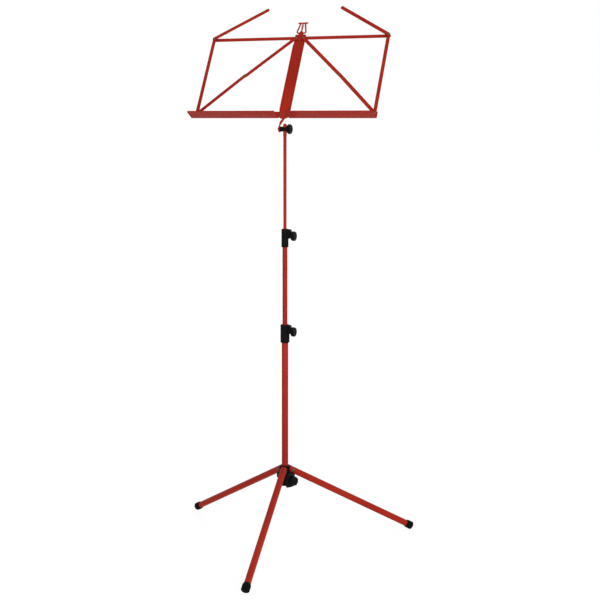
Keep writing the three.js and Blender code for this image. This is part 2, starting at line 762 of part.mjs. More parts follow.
// A ribbon of constant width along a smooth curve through the points given.
function ribbon(points, width, back, front) {
  const curve = new THREE.SplineCurve(points.map(([x, y]) => new THREE.Vector2(x, y)));
  const steps = 12;
  const left = [];
  const right = [];
  for (let i = 0; i <= steps; i += 1) {
    const p = curve.getPoint(i / steps);
    const d = curve.getTangent(i / steps);
    left.push([p.x - (d.y * width) / 2, p.y + (d.x * width) / 2]);
    right.unshift([p.x + (d.y * width) / 2, p.y - (d.x * width) / 2]);
  }
  return plate([...right.reverse(), ...left.reverse()], back, front);
}

// The lyre ornament: a tab on the front of the spine, and above it, in the spine's own plane, a bulb,
// two curved arms, two strings and a crossbar.
function lyre(parent) {
  const base = upperPivot + spineRise + faceGap;
  const top = base + lyreHeight;
  const front = spineThickness;
  const tabBack = spineThickness + faceGap;
  const tab = block(
    [-lyreTabHalfWidth, base - lyreTabDrop, tabBack],
    [lyreTabHalfWidth, base + 3, tabBack + spineThickness],
  );
  const step = block([-lyreTabHalfWidth, base, 0], [lyreTabHalfWidth, base + 3, tabBack + spineThickness]);
  const bulb = new THREE.Shape();
  bulb.moveTo(-lyreTabHalfWidth, base);
  bulb.lineTo(lyreTabHalfWidth, base);
  const belly = lyreHalfWidth * 0.6;
  bulb.quadraticCurveTo(belly, base + lyreBulbShoulder, 0, base + lyreBulbRise);
  bulb.quadraticCurveTo(-belly, base + lyreBulbShoulder, -lyreTabHalfWidth, base);
  const arm = (side) =>
    ribbon(
      [
        [side * lyreTabHalfWidth * 0.6, base + 2],
        [side * lyreHalfWidth * 0.8, base + lyreHeight * 0.17],
        [side * lyreHalfWidth * 0.8, base + lyreHeight * 0.34],
        [side * lyreHalfWidth * 0.6, base + lyreHeight * 0.66],
        [side * lyreHalfWidth * 0.5, top - lyreBar / 2],
      ],
      lyreStroke,
      0,
      front,
    );
  const string = (side) =>
    plate(
      [
        [side * lyreStringSpread - lyreString / 2, top - 1],
        [-lyreString / 2, base + lyreBulbShoulder],
        [lyreString / 2, base + lyreBulbShoulder],
        [side * lyreStringSpread + lyreString / 2, top - 1],
      ],
      0,
      front,
    );
  const bar = plate(
    [
      [-lyreHalfWidth, top],
      [-lyreHalfWidth + 0.8, top - lyreBar],
      [lyreHalfWidth - 0.8, top - lyreBar],
      [lyreHalfWidth, top],
    ],
    0,
    front,
  );
  const frame = [arm(-1), arm(1), string(-1), string(1), bar];
  mesh("lyre_finial", add(tab, step, plate(bulb, 0, front), ...frame), paint, parent);
}

// One half of the tray: an angle section whose flange is riveted behind the spine and whose lip carries
// the sheets.
function trayGeometry(side) {
  const end = outerPivot + trayOverhang[side];
  const flange = new THREE.Shape();
  flange.moveTo(pivotFromCentre, -trayDrop);
  flange.lineTo(end, -trayDrop);
  flange.lineTo(end, trayRise);
  flange.lineTo(pivotFromCentre, trayRise);
  flange.lineTo(pivotFromCentre, trayEndRadius);
  flange.absarc(pivotFromCentre, 0, trayEndRadius, Math.PI / 2, (3 * Math.PI) / 2, false);
  const upright = plate(flange, flangeBack, flangeFront, [
    { x: pivotFromCentre, y: 0, radius: rivetHoleRadius },
    { x: outerPivot, y: 0, radius: rivetHoleRadius },
  ]);
  const corner = 6;
  const lipShape = new THREE.Shape();
  lipShape.moveTo(lipInset, 0);
  lipShape.lineTo(end, 0);
  lipShape.lineTo(end, lipDepth - flangeBack - corner);
  lipShape.absarc(end - corner, lipDepth - flangeBack - corner, corner, 0, Math.PI / 2, false);
  lipShape.lineTo(lipInset, lipDepth - flangeBack);
  // Drawn as u across and n out, then stood on its edge so that its thickness runs along v.
  const lip = plate(lipShape, 0, trayThickness)
    .rotateX(Math.PI / 2)
    .translate(0, trayThickness - trayDrop, flangeBack);
  return add(upright, lip);
}

function deskSide(side, desk) {
  const half = new THREE.Group();
  half.scale.x = side === "left" ? -1 : 1;
  desk.add(half);
  const foot = new THREE.Vector2(pivotFromCentre, 0);
  const head = new THREE.Vector2(pivotFromCentre, upperPivot);
  const outer = new THREE.Vector2(outerPivot, 0);
  const corner = new THREE.Vector2(outerPivot, upperPivot);

  mesh(`${side}_tray`, trayGeometry(side), paint, half);
  strip(`${side}_top_bar`, head, corner, topBarLayer, ["start", "end"], half);
  strip(`${side}_side_bar`, outer, corner, sideBarLayer, ["start", "end"], half);
  strip(`${side}_upper_diagonal`, head, middlePivot, upperDiagonalLayer, ["start"], half);
  strip(`${side}_lower_diagonal`, outer, middlePivot, lowerDiagonalLayer, ["start", "end"], half);

  const rise = THREE.MathUtils.degToRad(180 - pageArmRise);
  const tip = corner
    .clone()
    .add(new THREE.Vector2(Math.cos(rise), Math.sin(rise)).multiplyScalar(pageArmLength));
  strip(`${side}_page_arm`, corner, tip, pageArmLayer, ["start"], half);

  const both = { back: true, front: true };
  rivet(`${side}_tray_rivet`, foot, flangeBack - faceGap, spineFront + faceGap, both, half);
  rivet(
    `${side}_top_rivet`,
    head,
    0,
    upperDiagonalLayer.front + faceGap,
    { front: true },
    half,
  );
  rivet(`${side}_outer_rivet`, outer, flangeBack - faceGap, sideBarLayer.front + faceGap, both, half);
  rivet(`${side}_corner_rivet`, corner, spineFront, pageArmLayer.front + faceGap, both, half);
  rivet(
    `${side}_middle_rivet`,
    middlePivot,
    lowerDiagonalLayer.back,
    lowerDiagonalLayer.front + faceGap,
    { front: true },
    half,
  );
  rivetSpacer(
    `${side}_outer_spacer`,
    outer,
    flangeFront + faceGap,
    lowerDiagonalLayer.back - faceGap,
    half,
  );
  rivetSpacer(
    `${side}_corner_spacer`,
    corner,
    topBarLayer.front + faceGap,
    sideBarLayer.back - faceGap,
    half,
  );
}

// ---------------------------------------------------------------- assembly
baseHub();
for (const side of Object.keys(legAngles)) leg(side);
mast();
clamp("lower_clamp", lowerTubeRadius, middleTubeRadius, lowerTubeTop, lowerClampWall);
clamp("upper_clamp", middleTubeRadius, topRodRadius, middleTubeTop, upperClampWall);

// In this group X is u, Y is v up the desk and Z is n towards the reader; its origin is the tilt bolt.
const atBolt = new THREE.Group();
atBolt.position.z = boltHeight;
atBolt.rotation.x = THREE.MathUtils.degToRad(90 - deskLean);
stand.add(atBolt);
tiltJoint(atBolt);
const desk = new THREE.Group();
desk.position.set(0, boltBelowDesk, boltBehindDesk);
atBolt.add(desk);
spine(desk);
lyre(desk);
deskSide("left", desk);
deskSide("right", desk);

// The origin is the middle of the whole stand's footprint, on the floor.
const bounds = new THREE.Box3().setFromObject(stand, true);
const middle = bounds.getCenter(new THREE.Vector3());
stand.position.set(-middle.x, -middle.y, -bounds.min.z);

export default stand;
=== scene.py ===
import json
import math

import bmesh
import bpy
from mathutils import Matrix, Vector


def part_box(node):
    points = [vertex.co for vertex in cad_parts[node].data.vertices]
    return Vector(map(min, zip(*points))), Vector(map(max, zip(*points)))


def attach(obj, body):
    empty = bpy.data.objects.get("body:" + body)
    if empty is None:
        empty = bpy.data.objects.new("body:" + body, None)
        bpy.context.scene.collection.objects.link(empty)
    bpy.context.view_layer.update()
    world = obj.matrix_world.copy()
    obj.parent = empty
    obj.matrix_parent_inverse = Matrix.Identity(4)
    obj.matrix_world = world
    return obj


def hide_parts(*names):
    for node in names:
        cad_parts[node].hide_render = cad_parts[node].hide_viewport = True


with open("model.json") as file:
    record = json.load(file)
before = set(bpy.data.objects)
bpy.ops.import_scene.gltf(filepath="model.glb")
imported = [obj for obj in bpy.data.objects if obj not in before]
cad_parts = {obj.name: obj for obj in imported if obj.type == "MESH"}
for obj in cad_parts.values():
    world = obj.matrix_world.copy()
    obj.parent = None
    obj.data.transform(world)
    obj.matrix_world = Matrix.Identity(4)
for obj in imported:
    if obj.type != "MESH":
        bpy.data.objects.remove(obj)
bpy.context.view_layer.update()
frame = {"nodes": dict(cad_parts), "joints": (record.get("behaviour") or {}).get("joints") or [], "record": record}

# ---------------------------------------------------------------- places, in metres
MM = 0.001
joint = {j["name"]: j for j in frame["joints"]}
mast_low, mast_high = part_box("lower_tube")
AXIS = (mast_low + mast_high) / 2
AXIS.z = 0
LEG_PIVOT = Vector(joint["right_leg_fold"]["pos_m"])
BOLT = Vector(joint["desk_tilt"]["pos_m"])
KNOB_AXIS = Vector(joint["base_knob_turn"]["axis"])
LEAN = math.radians(30)
LEG_SLOPE = math.radians(28.9)
QUARTER = math.radians(90)

# ---------------------------------------------------------------- shared sizes, in millimetres
FACE_GAP = 0.3  # between two pieces that lie face to face
PIN_GAP = 0.4  # round a pin or a tube in its hole
SCREW_HOLE = 2.9  # radius
BOLT_BELOW_DESK = 28.4  # from the tilt bolt up the desk to the rivets of the tray
BOLT_BEHIND_DESK = 21.3  # from the tilt bolt forward to the back of the spine


def turn(angle, axis):
    return Matrix.Rotation(angle, 4, axis)


def move(x, y, z):
    return Matrix.Translation((x, y, z))


TO_METRES = Matrix.Scale(MM, 4)
# These two take a body that is drawn about Z to another axis.
TO_X = turn(QUARTER, "Y")
TO_Y = turn(-QUARTER, "X")
# This one stands a plate up, so that its thickness runs along Y.
UPRIGHT = turn(QUARTER, "X")
# In each of these frames a mesh is drawn in millimetres.
MAST = Matrix.Translation(AXIS) @ TO_METRES
AT_BOLT = Matrix.Translation(BOLT) @ turn(QUARTER - LEAN, "X") @ TO_METRES
DESK = AT_BOLT @ move(0, BOLT_BELOW_DESK, BOLT_BEHIND_DESK)
UNFLIPPED = Matrix.Identity(4)
MIRROR = Matrix.Scale(-1, 4, (1, 0, 0))


def leg_angle(side):
    pivot = Vector(joint[f"{side}_leg_fold"]["pos_m"])
    return math.atan2(pivot.y - AXIS.y, pivot.x - AXIS.x)


def leg_frame(side):
    pivot = Vector(joint[f"{side}_leg_fold"]["pos_m"])
    return Matrix.Translation(pivot) @ turn(leg_angle(side), "Z") @ turn(LEG_SLOPE, "Y") @ TO_METRES


def along(origin, axis):
    """The frame of a piece drawn about Z, placed at origin with its Z along axis."""
    turned = Vector((0, 0, 1)).rotation_difference(Vector(axis)).to_matrix().to_4x4()
    return Matrix.Translation(origin) @ turned @ TO_METRES


# ---------------------------------------------------------------- mesh tools
DOUBLED = 1e-4
ON_PLANE = 1e-5
NO_AREA = 1e-9


def placed(name, data):
    """A new object in the scene."""
    made = bpy.data.objects.new(name, data)
    bpy.context.scene.collection.objects.link(made)
    return made


def finished(holder):
    """The mesh of an object with its modifiers applied."""
    graph = bpy.context.evaluated_depsgraph_get()
    return bpy.data.meshes.new_from_object(holder.evaluated_get(graph))


def mesh_of(bm):
    """The mesh of bm, with doubled points merged and what they leave behind removed."""
    bmesh.ops.remove_doubles(bm, verts=bm.verts, dist=DOUBLED)
    bmesh.ops.delete(bm, geom=[f for f in bm.faces if f.calc_area() < NO_AREA], context="FACES")
    bmesh.ops.delete(bm, geom=[e for e in bm.edges if not e.link_faces], context="EDGES")
    bmesh.ops.recalc_face_normals(bm, faces=bm.faces)
    mesh = bpy.data.meshes.new("mesh")
    bm.to_mesh(mesh)
    bm.free()
    return mesh


def skin(bm, rings):
    """Faces between each ring of points and the next."""
    count = len(rings[0])
    for low, high in zip(rings, rings[1:]):
        for i in range(count):
            k = (i + 1) % count
            bm.faces.new((low[i], low[k], high[k], high[i]))


def lathe(outline, sides=64, closed=True):
    """A body of revolution about Z from [radius, height] points, closed back to its start."""
    bm = bmesh.new()
    rings = []
    for radius, height in outline:
        ring = []
        for i in range(sides):
            a = 2 * math.pi * i / sides
            ring.append(bm.verts.new((radius * math.cos(a), radius * math.sin(a), height)))
        rings.append(ring)
    if closed:
        rings.append(rings[0])
    skin(bm, rings)
    return mesh_of(bm)


def arc(cx, cy, radius, start, end, steps):
    """Points on a circle, its angles in degrees."""
    points = []
    for i in range(steps + 1):
        a = math.radians(start + (end - start) * i / steps)
        points.append((cx + radius * math.cos(a), cy + radius * math.sin(a)))
    return points


def circle(x, y, radius, steps=24):
    return arc(x, y, radius, 0, 360, steps)[:-1]


def plate(outline, back, front, holes=(), edge=0.3, rounding=2):
    """A flat piece in XY from back to front along Z, with its rims rolled by edge."""
    curve = bpy.data.curves.new("plate", "CURVE")
    curve.dimensions = "2D"
    curve.fill_mode = "BOTH"
    half = (front - back) / 2
    curve.extrude = half - edge
    curve.bevel_depth = edge
    curve.bevel_resolution = rounding
    curve.offset = -edge
    for loop in (outline, *holes):
        spline = curve.splines.new("POLY")
        spline.points.add(len(loop) - 1)
        for point, (x, y) in zip(spline.points, loop):
            point.co = (x, y, 0, 1)
        spline.use_cyclic_u = True
    holder = placed("plate", curve)
    mesh = finished(holder)
    bpy.data.objects.remove(holder)
    bpy.data.curves.remove(curve)
    bm = bmesh.new()
    bm.from_mesh(mesh)
    bpy.data.meshes.remove(mesh)
    bmesh.ops.translate(bm, verts=bm.verts, vec=(0, 0, (front + back) / 2))
    return mesh_of(bm)


def moved(mesh, matrix):
    mesh.transform(matrix)
    if matrix.determinant() < 0:
        mesh.flip_normals()
    return mesh


def boolean(mesh, others, operation):
    """mesh with each of the others cut out of it, joined to it or kept in common with it."""
    made = [placed("solid", other) for other in (mesh, *others)]
    for other in made[1:]:
        modifier = made[0].modifiers.new("boolean", "BOOLEAN")
        modifier.operation = operation
        modifier.solver = "MANIFOLD"
        modifier.object = other
    result = finished(made[0])
    for holder in made:
        bpy.data.objects.remove(holder)
    return result


def cut(mesh, *others):
    return boolean(mesh, others, "DIFFERENCE")


def union(mesh, *others):
    return boolean(mesh, others, "UNION")


def common(mesh, *others):
    return boolean(mesh, others, "INTERSECT")


def block(low, high, edge=0.0):
    """A block between two corners, its edges rounded when edge is given."""
    bm = bmesh.new()
    bmesh.ops.create_cube(bm, size=1)
    for v in bm.verts:
        v.co = [low[i] + (v.co[i] + 0.5) * (high[i] - low[i]) for i in range(3)]
    if edge:
        bmesh.ops.bevel(bm, geom=bm.edges[:], offset=edge, segments=3, affect="EDGES", profile=0.5)
    return mesh_of(bm)


def rod(radius, low, high, sides=48, edge=0.0):
    """A cylinder along Z, with rounded rims when edge is given."""
    if not edge:
        return lathe([(0, low), (radius, low), (radius, high), (0, high)], sides, closed=False)
    outline = [(0, low)]
    outline += arc(radius - edge, low + edge, edge, -90, 0, 3)
    outline += arc(radius - edge, high - edge, edge, 0, 90, 3)
    outline += [(0, high)]
    return lathe(outline, sides, closed=False)


def softened(mesh, width, angle=50, segments=2):
    """The mesh with its sharp edges rounded."""
    holder = placed("soft", mesh)
    modifier = holder.modifiers.new("bevel", "BEVEL")
    modifier.width = width
    modifier.segments = segments
    modifier.limit_method = "ANGLE"
    modifier.angle_limit = math.radians(angle)
    modifier.use_clamp_overlap = True
    modifier.harden_normals = False
    result = finished(holder)
    bpy.data.objects.remove(holder)
    return result


def looped(mesh, places):
    """The mesh with extra edge loops where it crosses each place along Y."""
    bm = bmesh.new()
    bm.from_mesh(mesh)
    for place in places:
        geometry = bm.verts[:] + bm.edges[:] + bm.faces[:]
        bmesh.ops.bisect_plane(
            bm, geom=geometry, dist=ON_PLANE, plane_co=(0, place, 0), plane_no=(0, 1, 0)
        )
    bm.to_mesh(mesh)
    bm.free()
    return mesh


def bent(mesh, start, radius, angle, low, inside):
    """A sheet lying in XY, bent towards +Z about a line along X, from y = start downwards.

    radius is that of the sheet's inner face, which is at z = inside; low is the sheet's back face."""
    steps = 8
    neutral = radius + (inside - low) / 2
    length = neutral * angle
    looped(mesh, [start - length * i / steps for i in range(steps + 1)])
    for v in mesh.vertices:
        x, y, z = v.co
        if y >= start:
            continue
        past = start - y
        turned = min(past / length, 1) * angle
        r = radius + inside - z
        rest = max(past - length, 0)
        v.co = (
            x,
            start - r * math.sin(turned) - rest * math.cos(turned),
            inside + radius - r * math.cos(turned) + rest * math.sin(turned),
        )
    mesh.update()
    return mesh


# ---------------------------------------------------------------- materials
def srgb(r, g, b):
    """A colour for a shader from the 0 to 255 values of a screen."""

    def linear(c):
        c /= 255
        return c / 12.92 if c <= 0.04045 else ((c + 0.055) / 1.055) ** 2.4

    return (linear(r), linear(g), linear(b), 1)


# The cosine between a face and its rounded copy: above FLAT it is an open face, below SHARP an edge.
FLAT = 0.96
SHARP = 0.8


class Nodes:
    """A material's node tree, with short ways to add and link nodes."""

    def __init__(self, name):
        self.material = bpy.data.materials.new(name)
        self.material.use_nodes = True
        self.tree = self.material.node_tree
        self.shader = self.tree.nodes["Principled BSDF"]
        self.place = self.add("ShaderNodeTexCoord").outputs["Object"]

    def add(self, kind, **settings):
        node = self.tree.nodes.new(kind)
        for key, value in settings.items():
            setattr(node, key, value)
        return node

    def link(self, source, target):
        self.tree.links.new(source, target)

    def noise(self, scale, detail, roughness=0.5):
        node = self.add("ShaderNodeTexNoise")
        node.inputs["Scale"].default_value = scale
        node.inputs["Detail"].default_value = detail
        node.inputs["Roughness"].default_value = roughness
        self.link(self.place, node.inputs["Vector"])
        return node.outputs["Fac"]

    def spread(self, value, low, high, to_low=0, to_high=1):
        """value, with the range from low to high stretched to that from to_low to to_high."""
        node = self.add("ShaderNodeMapRange")
        keys = ("From Min", "From Max", "To Min", "To Max")
        for key, number in zip(keys, (low, high, to_low, to_high)):
            node.inputs[key].default_value = number
        self.link(value, node.inputs["Value"])
        return node.outputs["Result"]

    def mix(self, factor, a, b):
        node = self.add("ShaderNodeMix", data_type="RGBA")
        self.link(factor, node.inputs["Factor"])
        for socket, value in (("A", a), ("B", b)):
            target = [i for i in node.inputs if i.name == socket and i.type == "RGBA"][0]
            if isinstance(value, tuple):
                target.default_value = value
            else:
                self.link(value, target)
        return [o for o in node.outputs if o.type == "RGBA"][0]

    def math(self, operation, a, b):
        node = self.add("ShaderNodeMath", operation=operation)
        for socket, value in zip(node.inputs, (a, b)):
            if isinstance(value, (int, float)):
                socket.default_value = value
            else:
                self.link(value, socket)
        return node.outputs[0]

    def times(self, a, b):
        return self.math("MULTIPLY", a, b)

    def edges(self, radius):
        """1 along the edges of the shape and 0 on its open faces."""
        bevel = self.add("ShaderNodeBevel", samples=8)
        bevel.inputs["Radius"].default_value = radius
        faces = self.add("ShaderNodeNewGeometry")
        dot = self.add("ShaderNodeVectorMath", operation="DOT_PRODUCT")
        self.link(bevel.outputs["Normal"], dot.inputs[0])
        self.link(faces.outputs["Normal"], dot.inputs[1])
        return self.spread(dot.outputs["Value"], FLAT, SHARP)

    def bump(self, height, distance, strength, under=None):
        node = self.add("ShaderNodeBump")
        node.inputs["Distance"].default_value = distance
        node.inputs["Strength"].default_value = strength
        self.link(height, node.inputs["Height"])
        if under:
            self.link(under, node.inputs["Normal"])
        return node.outputs["Normal"]

    def set(self, **sockets):
        for key, value in sockets.items():
            target = self.shader.inputs[key.replace("_", " ")]
            if isinstance(value, (int, float, tuple)):
                target.default_value = value
            else:
                self.link(value, target)


def powder_coat():
    n = Nodes("red_powder_coat")
    cloud = n.spread(n.noise(scale=7, detail=4), 0.35, 0.65)
    colour = n.mix(cloud, srgb(150, 31, 18), srgb(163, 39, 24))
    specks = n.spread(n.noise(scale=1100, detail=2), 0.66, 0.8, to_high=0.12)
    colour = n.mix(specks, colour, srgb(106, 26, 18))
    rim = n.edges(0.6 * MM)
    # Painted shade: along every edge the red is darkened towards a deep red, standing in for the shade on cut
    # edges and strip outlines. The same edge mask also places the chipped paint below, which is wear.
    colour = n.mix(n.times(rim, 0.55), colour, srgb(84, 22, 15))
    chips = n.times(rim, n.spread(n.noise(scale=150, detail=5, roughness=0.65), 0.69, 0.72))
    colour = n.mix(chips, colour, srgb(78, 62, 56))
    peel = n.bump(n.noise(scale=380, detail=2, roughness=0.4), 0.05 * MM, strength=0.22)
    flaked = n.bump(n.spread(chips, 0, 1, 1, 0), 0.05 * MM, strength=0.6, under=peel)
    n.set(
        Base_Color=colour,
        Metallic=n.times(chips, 0.6),
        Roughness=n.spread(n.noise(scale=60, detail=3), 0.3, 0.7, 0.36, 0.48),
        Normal=n.bump(n.noise(scale=1500, detail=2), 0.02 * MM, strength=0.15, under=flaked),
        Specular_IOR_Level=0.09,
    )
    return n.material


def moulded_plastic():
    n = Nodes("black_moulded_plastic")
    cloud = n.spread(n.noise(scale=40, detail=3), 0.3, 0.7)
    colour = n.mix(cloud, srgb(5, 5, 6), srgb(10, 10, 11))
    rim = n.edges(0.6 * MM)
    rubbed = n.times(rim, n.spread(n.noise(scale=120, detail=4), 0.4, 0.7, 0.1, 0.6))
    colour = n.mix(rubbed, colour, srgb(30, 30, 31))
    n.set(
        Base_Color=colour,
        Roughness=n.spread(n.noise(scale=180, detail=3), 0.3, 0.7, 0.4, 0.56),
        Normal=n.bump(n.noise(scale=1400, detail=3, roughness=0.6), 0.05 * MM, strength=0.5),
        Specular_IOR_Level=0.06,
    )
    return n.material


def foot_rubber():
    n = Nodes("black_foot_rubber")
    cloud = n.spread(n.noise(scale=70, detail=4), 0.3, 0.7)
    colour = n.mix(cloud, srgb(4, 4, 4), srgb(8, 8, 7))
    dusty = n.times(n.edges(MM), n.spread(n.noise(scale=260, detail=4), 0.35, 0.7, 0.1, 0.7))
    colour = n.mix(dusty, colour, srgb(28, 27, 25))
    n.set(
        Base_Color=colour,
        Roughness=n.spread(n.noise(scale=220, detail=3), 0.3, 0.7, 0.6, 0.78),
        Normal=n.bump(n.noise(scale=900, detail=4, roughness=0.6), 0.08 * MM, strength=0.6),
        Specular_IOR_Level=0.05,
    )
    return n.material


def plated_steel():
    n = Nodes("zinc_plated_steel")
    cloud = n.spread(n.noise(scale=300, detail=4), 0.3, 0.7)
    colour = n.mix(cloud, srgb(66, 58, 54), srgb(92, 84, 79))
    dull = n.times(n.edges(0.5 * MM), n.spread(n.noise(scale=700, detail=3), 0.4, 0.65, to_high=0.7))
    colour = n.mix(dull, colour, srgb(56, 49, 46))
    n.set(
        Base_Color=colour,
        Metallic=0.9,
        Roughness=n.spread(n.noise(scale=500, detail=3), 0.3, 0.7, 0.4, 0.56),
        Normal=n.bump(n.noise(scale=1600, detail=2), 0.03 * MM, strength=0.4),
    )
    return n.material


def natural_nylon():
    n = Nodes("natural_nylon")
    cloud = n.spread(n.noise(scale=80, detail=3), 0.3, 0.7)
    colour = n.mix(cloud, srgb(210, 206, 194), srgb(226, 222, 212))
    scuffed = n.times(n.edges(0.8 * MM), n.spread(n.noise(scale=240, detail=3), 0.4, 0.65, to_high=0.8))
    colour = n.mix(scuffed, colour, srgb(164, 158, 146))
    n.set(
        Base_Color=colour,
        Roughness=n.spread(n.noise(scale=200, detail=2), 0.3, 0.7, 0.45, 0.6),
        Normal=n.bump(n.noise(scale=900, detail=2), 0.04 * MM, strength=0.4),
    )
    return n.material


LOOKS = {
    "red_paint": powder_coat(),
    "black_plastic": moulded_plastic(),
    "rubber": foot_rubber(),
    "zinc": plated_steel(),
    "white_nylon": natural_nylon(),
}
slot_of = {s["node"]: s["material_slot"] for s in frame["record"]["subparts"]}
body_of = {n: b for b, ns in frame["record"]["behaviour"]["bodies"].items() for n in ns}

# Every CAD node that stays in view carries its finish too.
for name, node in frame["nodes"].items():
    node.data.materials.clear()
    node.data.materials.append(LOOKS[slot_of[name]])


def shaped(node, mesh, matrix, angle=40):
    """Puts a finer mesh in place of a CAD node, on the same body and with the same finish.

    Edges sharper than the angle, in degrees, stay sharp in the shading."""
    name = node + "_form"
    moved(mesh, matrix)
    mesh.name = name
    mesh.shade_smooth()
    mesh.set_sharp_from_angle(angle=math.radians(angle))
    mesh.materials.clear()
    mesh.materials.append(LOOKS[slot_of[node]])
    made = placed(name, mesh)
    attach(made, body_of[node])
    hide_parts(node)


# Angles for shaped.
TURNED = 32
PRESSED = 35
THREADED = 20

# ---------------------------------------------------------------- tripod
LEG_LENGTH = 382  # from its rivet to the end of its foot
LEG_RADIUS = 8.3
LEG_WALL = 1
LEG_LIP = 0.3  # rounding of the tube's ends
CROWN_REACH = 10.4  # from the rivet to the end of the tube's upper half
SLOT_DEPTH = 10.5  # from the rivet to the end of the slot under the tube
FIN = 6  # thickness of the hub's rib inside a leg
PIVOT_RADIUS = 19.2  # from the mast's axis to a leg's rivet
RIVET_RADIUS = 2
RIVET_HOLE = 2.4
FOOT_RADIUS = 10.6
FOOT_LENGTH = 19.5
FOOT_FLOOR = 4  # rubber past the end of the tube
# The foot cap's outline, as (inside its radius, from its mouth) and (inside its radius, from its end).
FOOT_MOUTH = [(0.9, 1.8), (0.3, 3.2), (0, 4.4), (0, 9), (0.45, 9.5), (0.45, 10.3), (0, 10.8)]
FOOT_TIP = [(0, 2.2), (0.25, 1.5), (0.8, 0.9), (1.5, 0.3), (2.3, 0)]
# The head of a leg's rivet, as (radius, height).
RIVET_DOME = [(0, 1.3), (1.7, 1.2), (3.2, 0.9), (4.0, 0.4), (4.2, 0.12), (4.2, 0)]


def leg_tube(side, at, end):
    bore = LEG_RADIUS - LEG_WALL
    outline = [(bore, LEG_LIP - CROWN_REACH), (bore + LEG_LIP, -CROWN_REACH)]
    outline += [(LEG_RADIUS - LEG_LIP, -CROWN_REACH), (LEG_RADIUS, LEG_LIP - CROWN_REACH)]
    outline += [(LEG_RADIUS, end - LEG_LIP), (LEG_RADIUS - LEG_LIP, end), (bore, end)]
    pipe = moved(lathe(outline), TO_X)
    past = 20
    beside = 10
    slot_half = FIN / 2 + PIN_GAP
    slot = block((-past, -slot_half, -past), (SLOT_DEPTH - slot_half, slot_half, 0))
    slot_end = moved(rod(slot_half, -past, 0, sides=32), move(SLOT_DEPTH - slot_half, 0, 0))
    hole = moved(rod(RIVET_HOLE, -beside, beside, sides=24), TO_Y)
    around = moved(rod(LEG_RADIUS, -beside, beside, sides=64), TO_Y)
    crown = block((-past, -beside, 0), (1, beside, beside))
    shank = block((0, -beside, -beside), (LEG_LENGTH, beside, beside))
    tube = common(cut(pipe, slot, slot_end, hole), union(around, crown, shank))
    shaped(f"{side}_leg_tube", softened(tube, 0.25), at)


def foot(side, at, end):
    """The rubber cap, cut flat where it rests on the floor."""
    start = LEG_LENGTH - FOOT_LENGTH
    mouth = 0.8
    outline = [(LEG_RADIUS + FACE_GAP, start)]
    outline += arc(FOOT_RADIUS - 1 - mouth, start + mouth, mouth, -90, 0, 4)
    outline += [(FOOT_RADIUS - inside, start + past) for inside, past in FOOT_MOUTH]
    outline += [(FOOT_RADIUS - inside, LEG_LENGTH - before) for inside, before in FOOT_TIP]
    outline += [(0, LEG_LENGTH), (0, end + FACE_GAP), (LEG_RADIUS + FACE_GAP, end + FACE_GAP)]
    cap = moved(lathe(outline), TO_X)
    wide = 500
    ground = moved(block((-wide, -wide, -wide), (wide, wide, 0)), at.inverted() @ TO_METRES)
    shaped(f"{side}_foot", cut(cap, ground), at)


def leg(side):
    at = leg_frame(side)
    end = LEG_LENGTH - FOOT_FLOOR
    leg_tube(side, at, end)
    foot(side, at, end)
    head = LEG_RADIUS + FACE_GAP
    outline = [(r, head + h) for r, h in RIVET_DOME] + [(RIVET_RADIUS, head), (RIVET_RADIUS, -head)]
    outline += [(r, -head - h) for r, h in reversed(RIVET_DOME)]
    rivet = lathe(outline, sides=40, closed=False)
    shaped(f"{side}_leg_rivet", moved(rivet, TO_Y), at, TURNED)


LOWER_TUBE = 8.3  # radius, as the next two
MIDDLE_TUBE = 6.3
TOP_ROD = 4.1
TUBE_WALL = 1
HUB_DROP = 40  # from the leg rivets down to the hub's underside
HUB_RISE = 13  # from the leg rivets up to the hub's rim
HUB_WALL = 1.6
HUB_CORE = LOWER_TUBE + PIN_GAP + HUB_WALL
HUB_RIM_REACH = 2.15  # from the core to the middle of the rim's rounding
HUB_RIM_EDGE = 0.7
LOBE_TOP = 4.8  # below the leg rivets
LOBE_EDGE = 1.5
LEG_LOBE = 21.5  # radius of the lobes between the legs
LEG_LOBE_DROP = 18  # from the leg rivets down to the underside of those lobes
KNOB_LOBE = 26  # radius of the lobe that carries the knob
KNOB_LOBE_HALF = 14.5
SLOT_CLEARANCE = 0.8  # each side of a folded leg
BASE_KNOB_RISE = 17.3  # from the hub's underside to the knob's screw


def skirt(radius, bottom, top):
    """A drum with a rounded lower edge and a sloping top."""
    outline = [(0, bottom), (radius - LOBE_EDGE, bottom)]
    outline += arc(radius - LOBE_EDGE, bottom + LOBE_EDGE, LOBE_EDGE, -60, 0, 3)
    outline += [(radius, top - 4), (19, top), (0, top)]
    return lathe(outline, sides=96, closed=False)


def fin(pivot_z):
    """The rib inside a leg's end, with the hole for its rivet."""
    nose = math.sqrt((LEG_RADIUS - LEG_WALL) ** 2 - (FIN / 2) ** 2) - FACE_GAP
    root = HUB_CORE - 1
    outline = [(root, pivot_z + nose), (root, pivot_z - nose - 2)]
    outline += arc(PIVOT_RADIUS, pivot_z, nose, -90, 90, 16)
    hole = circle(PIVOT_RADIUS, pivot_z, RIVET_HOLE)
    return moved(plate(outline, -FIN / 2, FIN / 2, [hole], rounding=1), UPRIGHT)


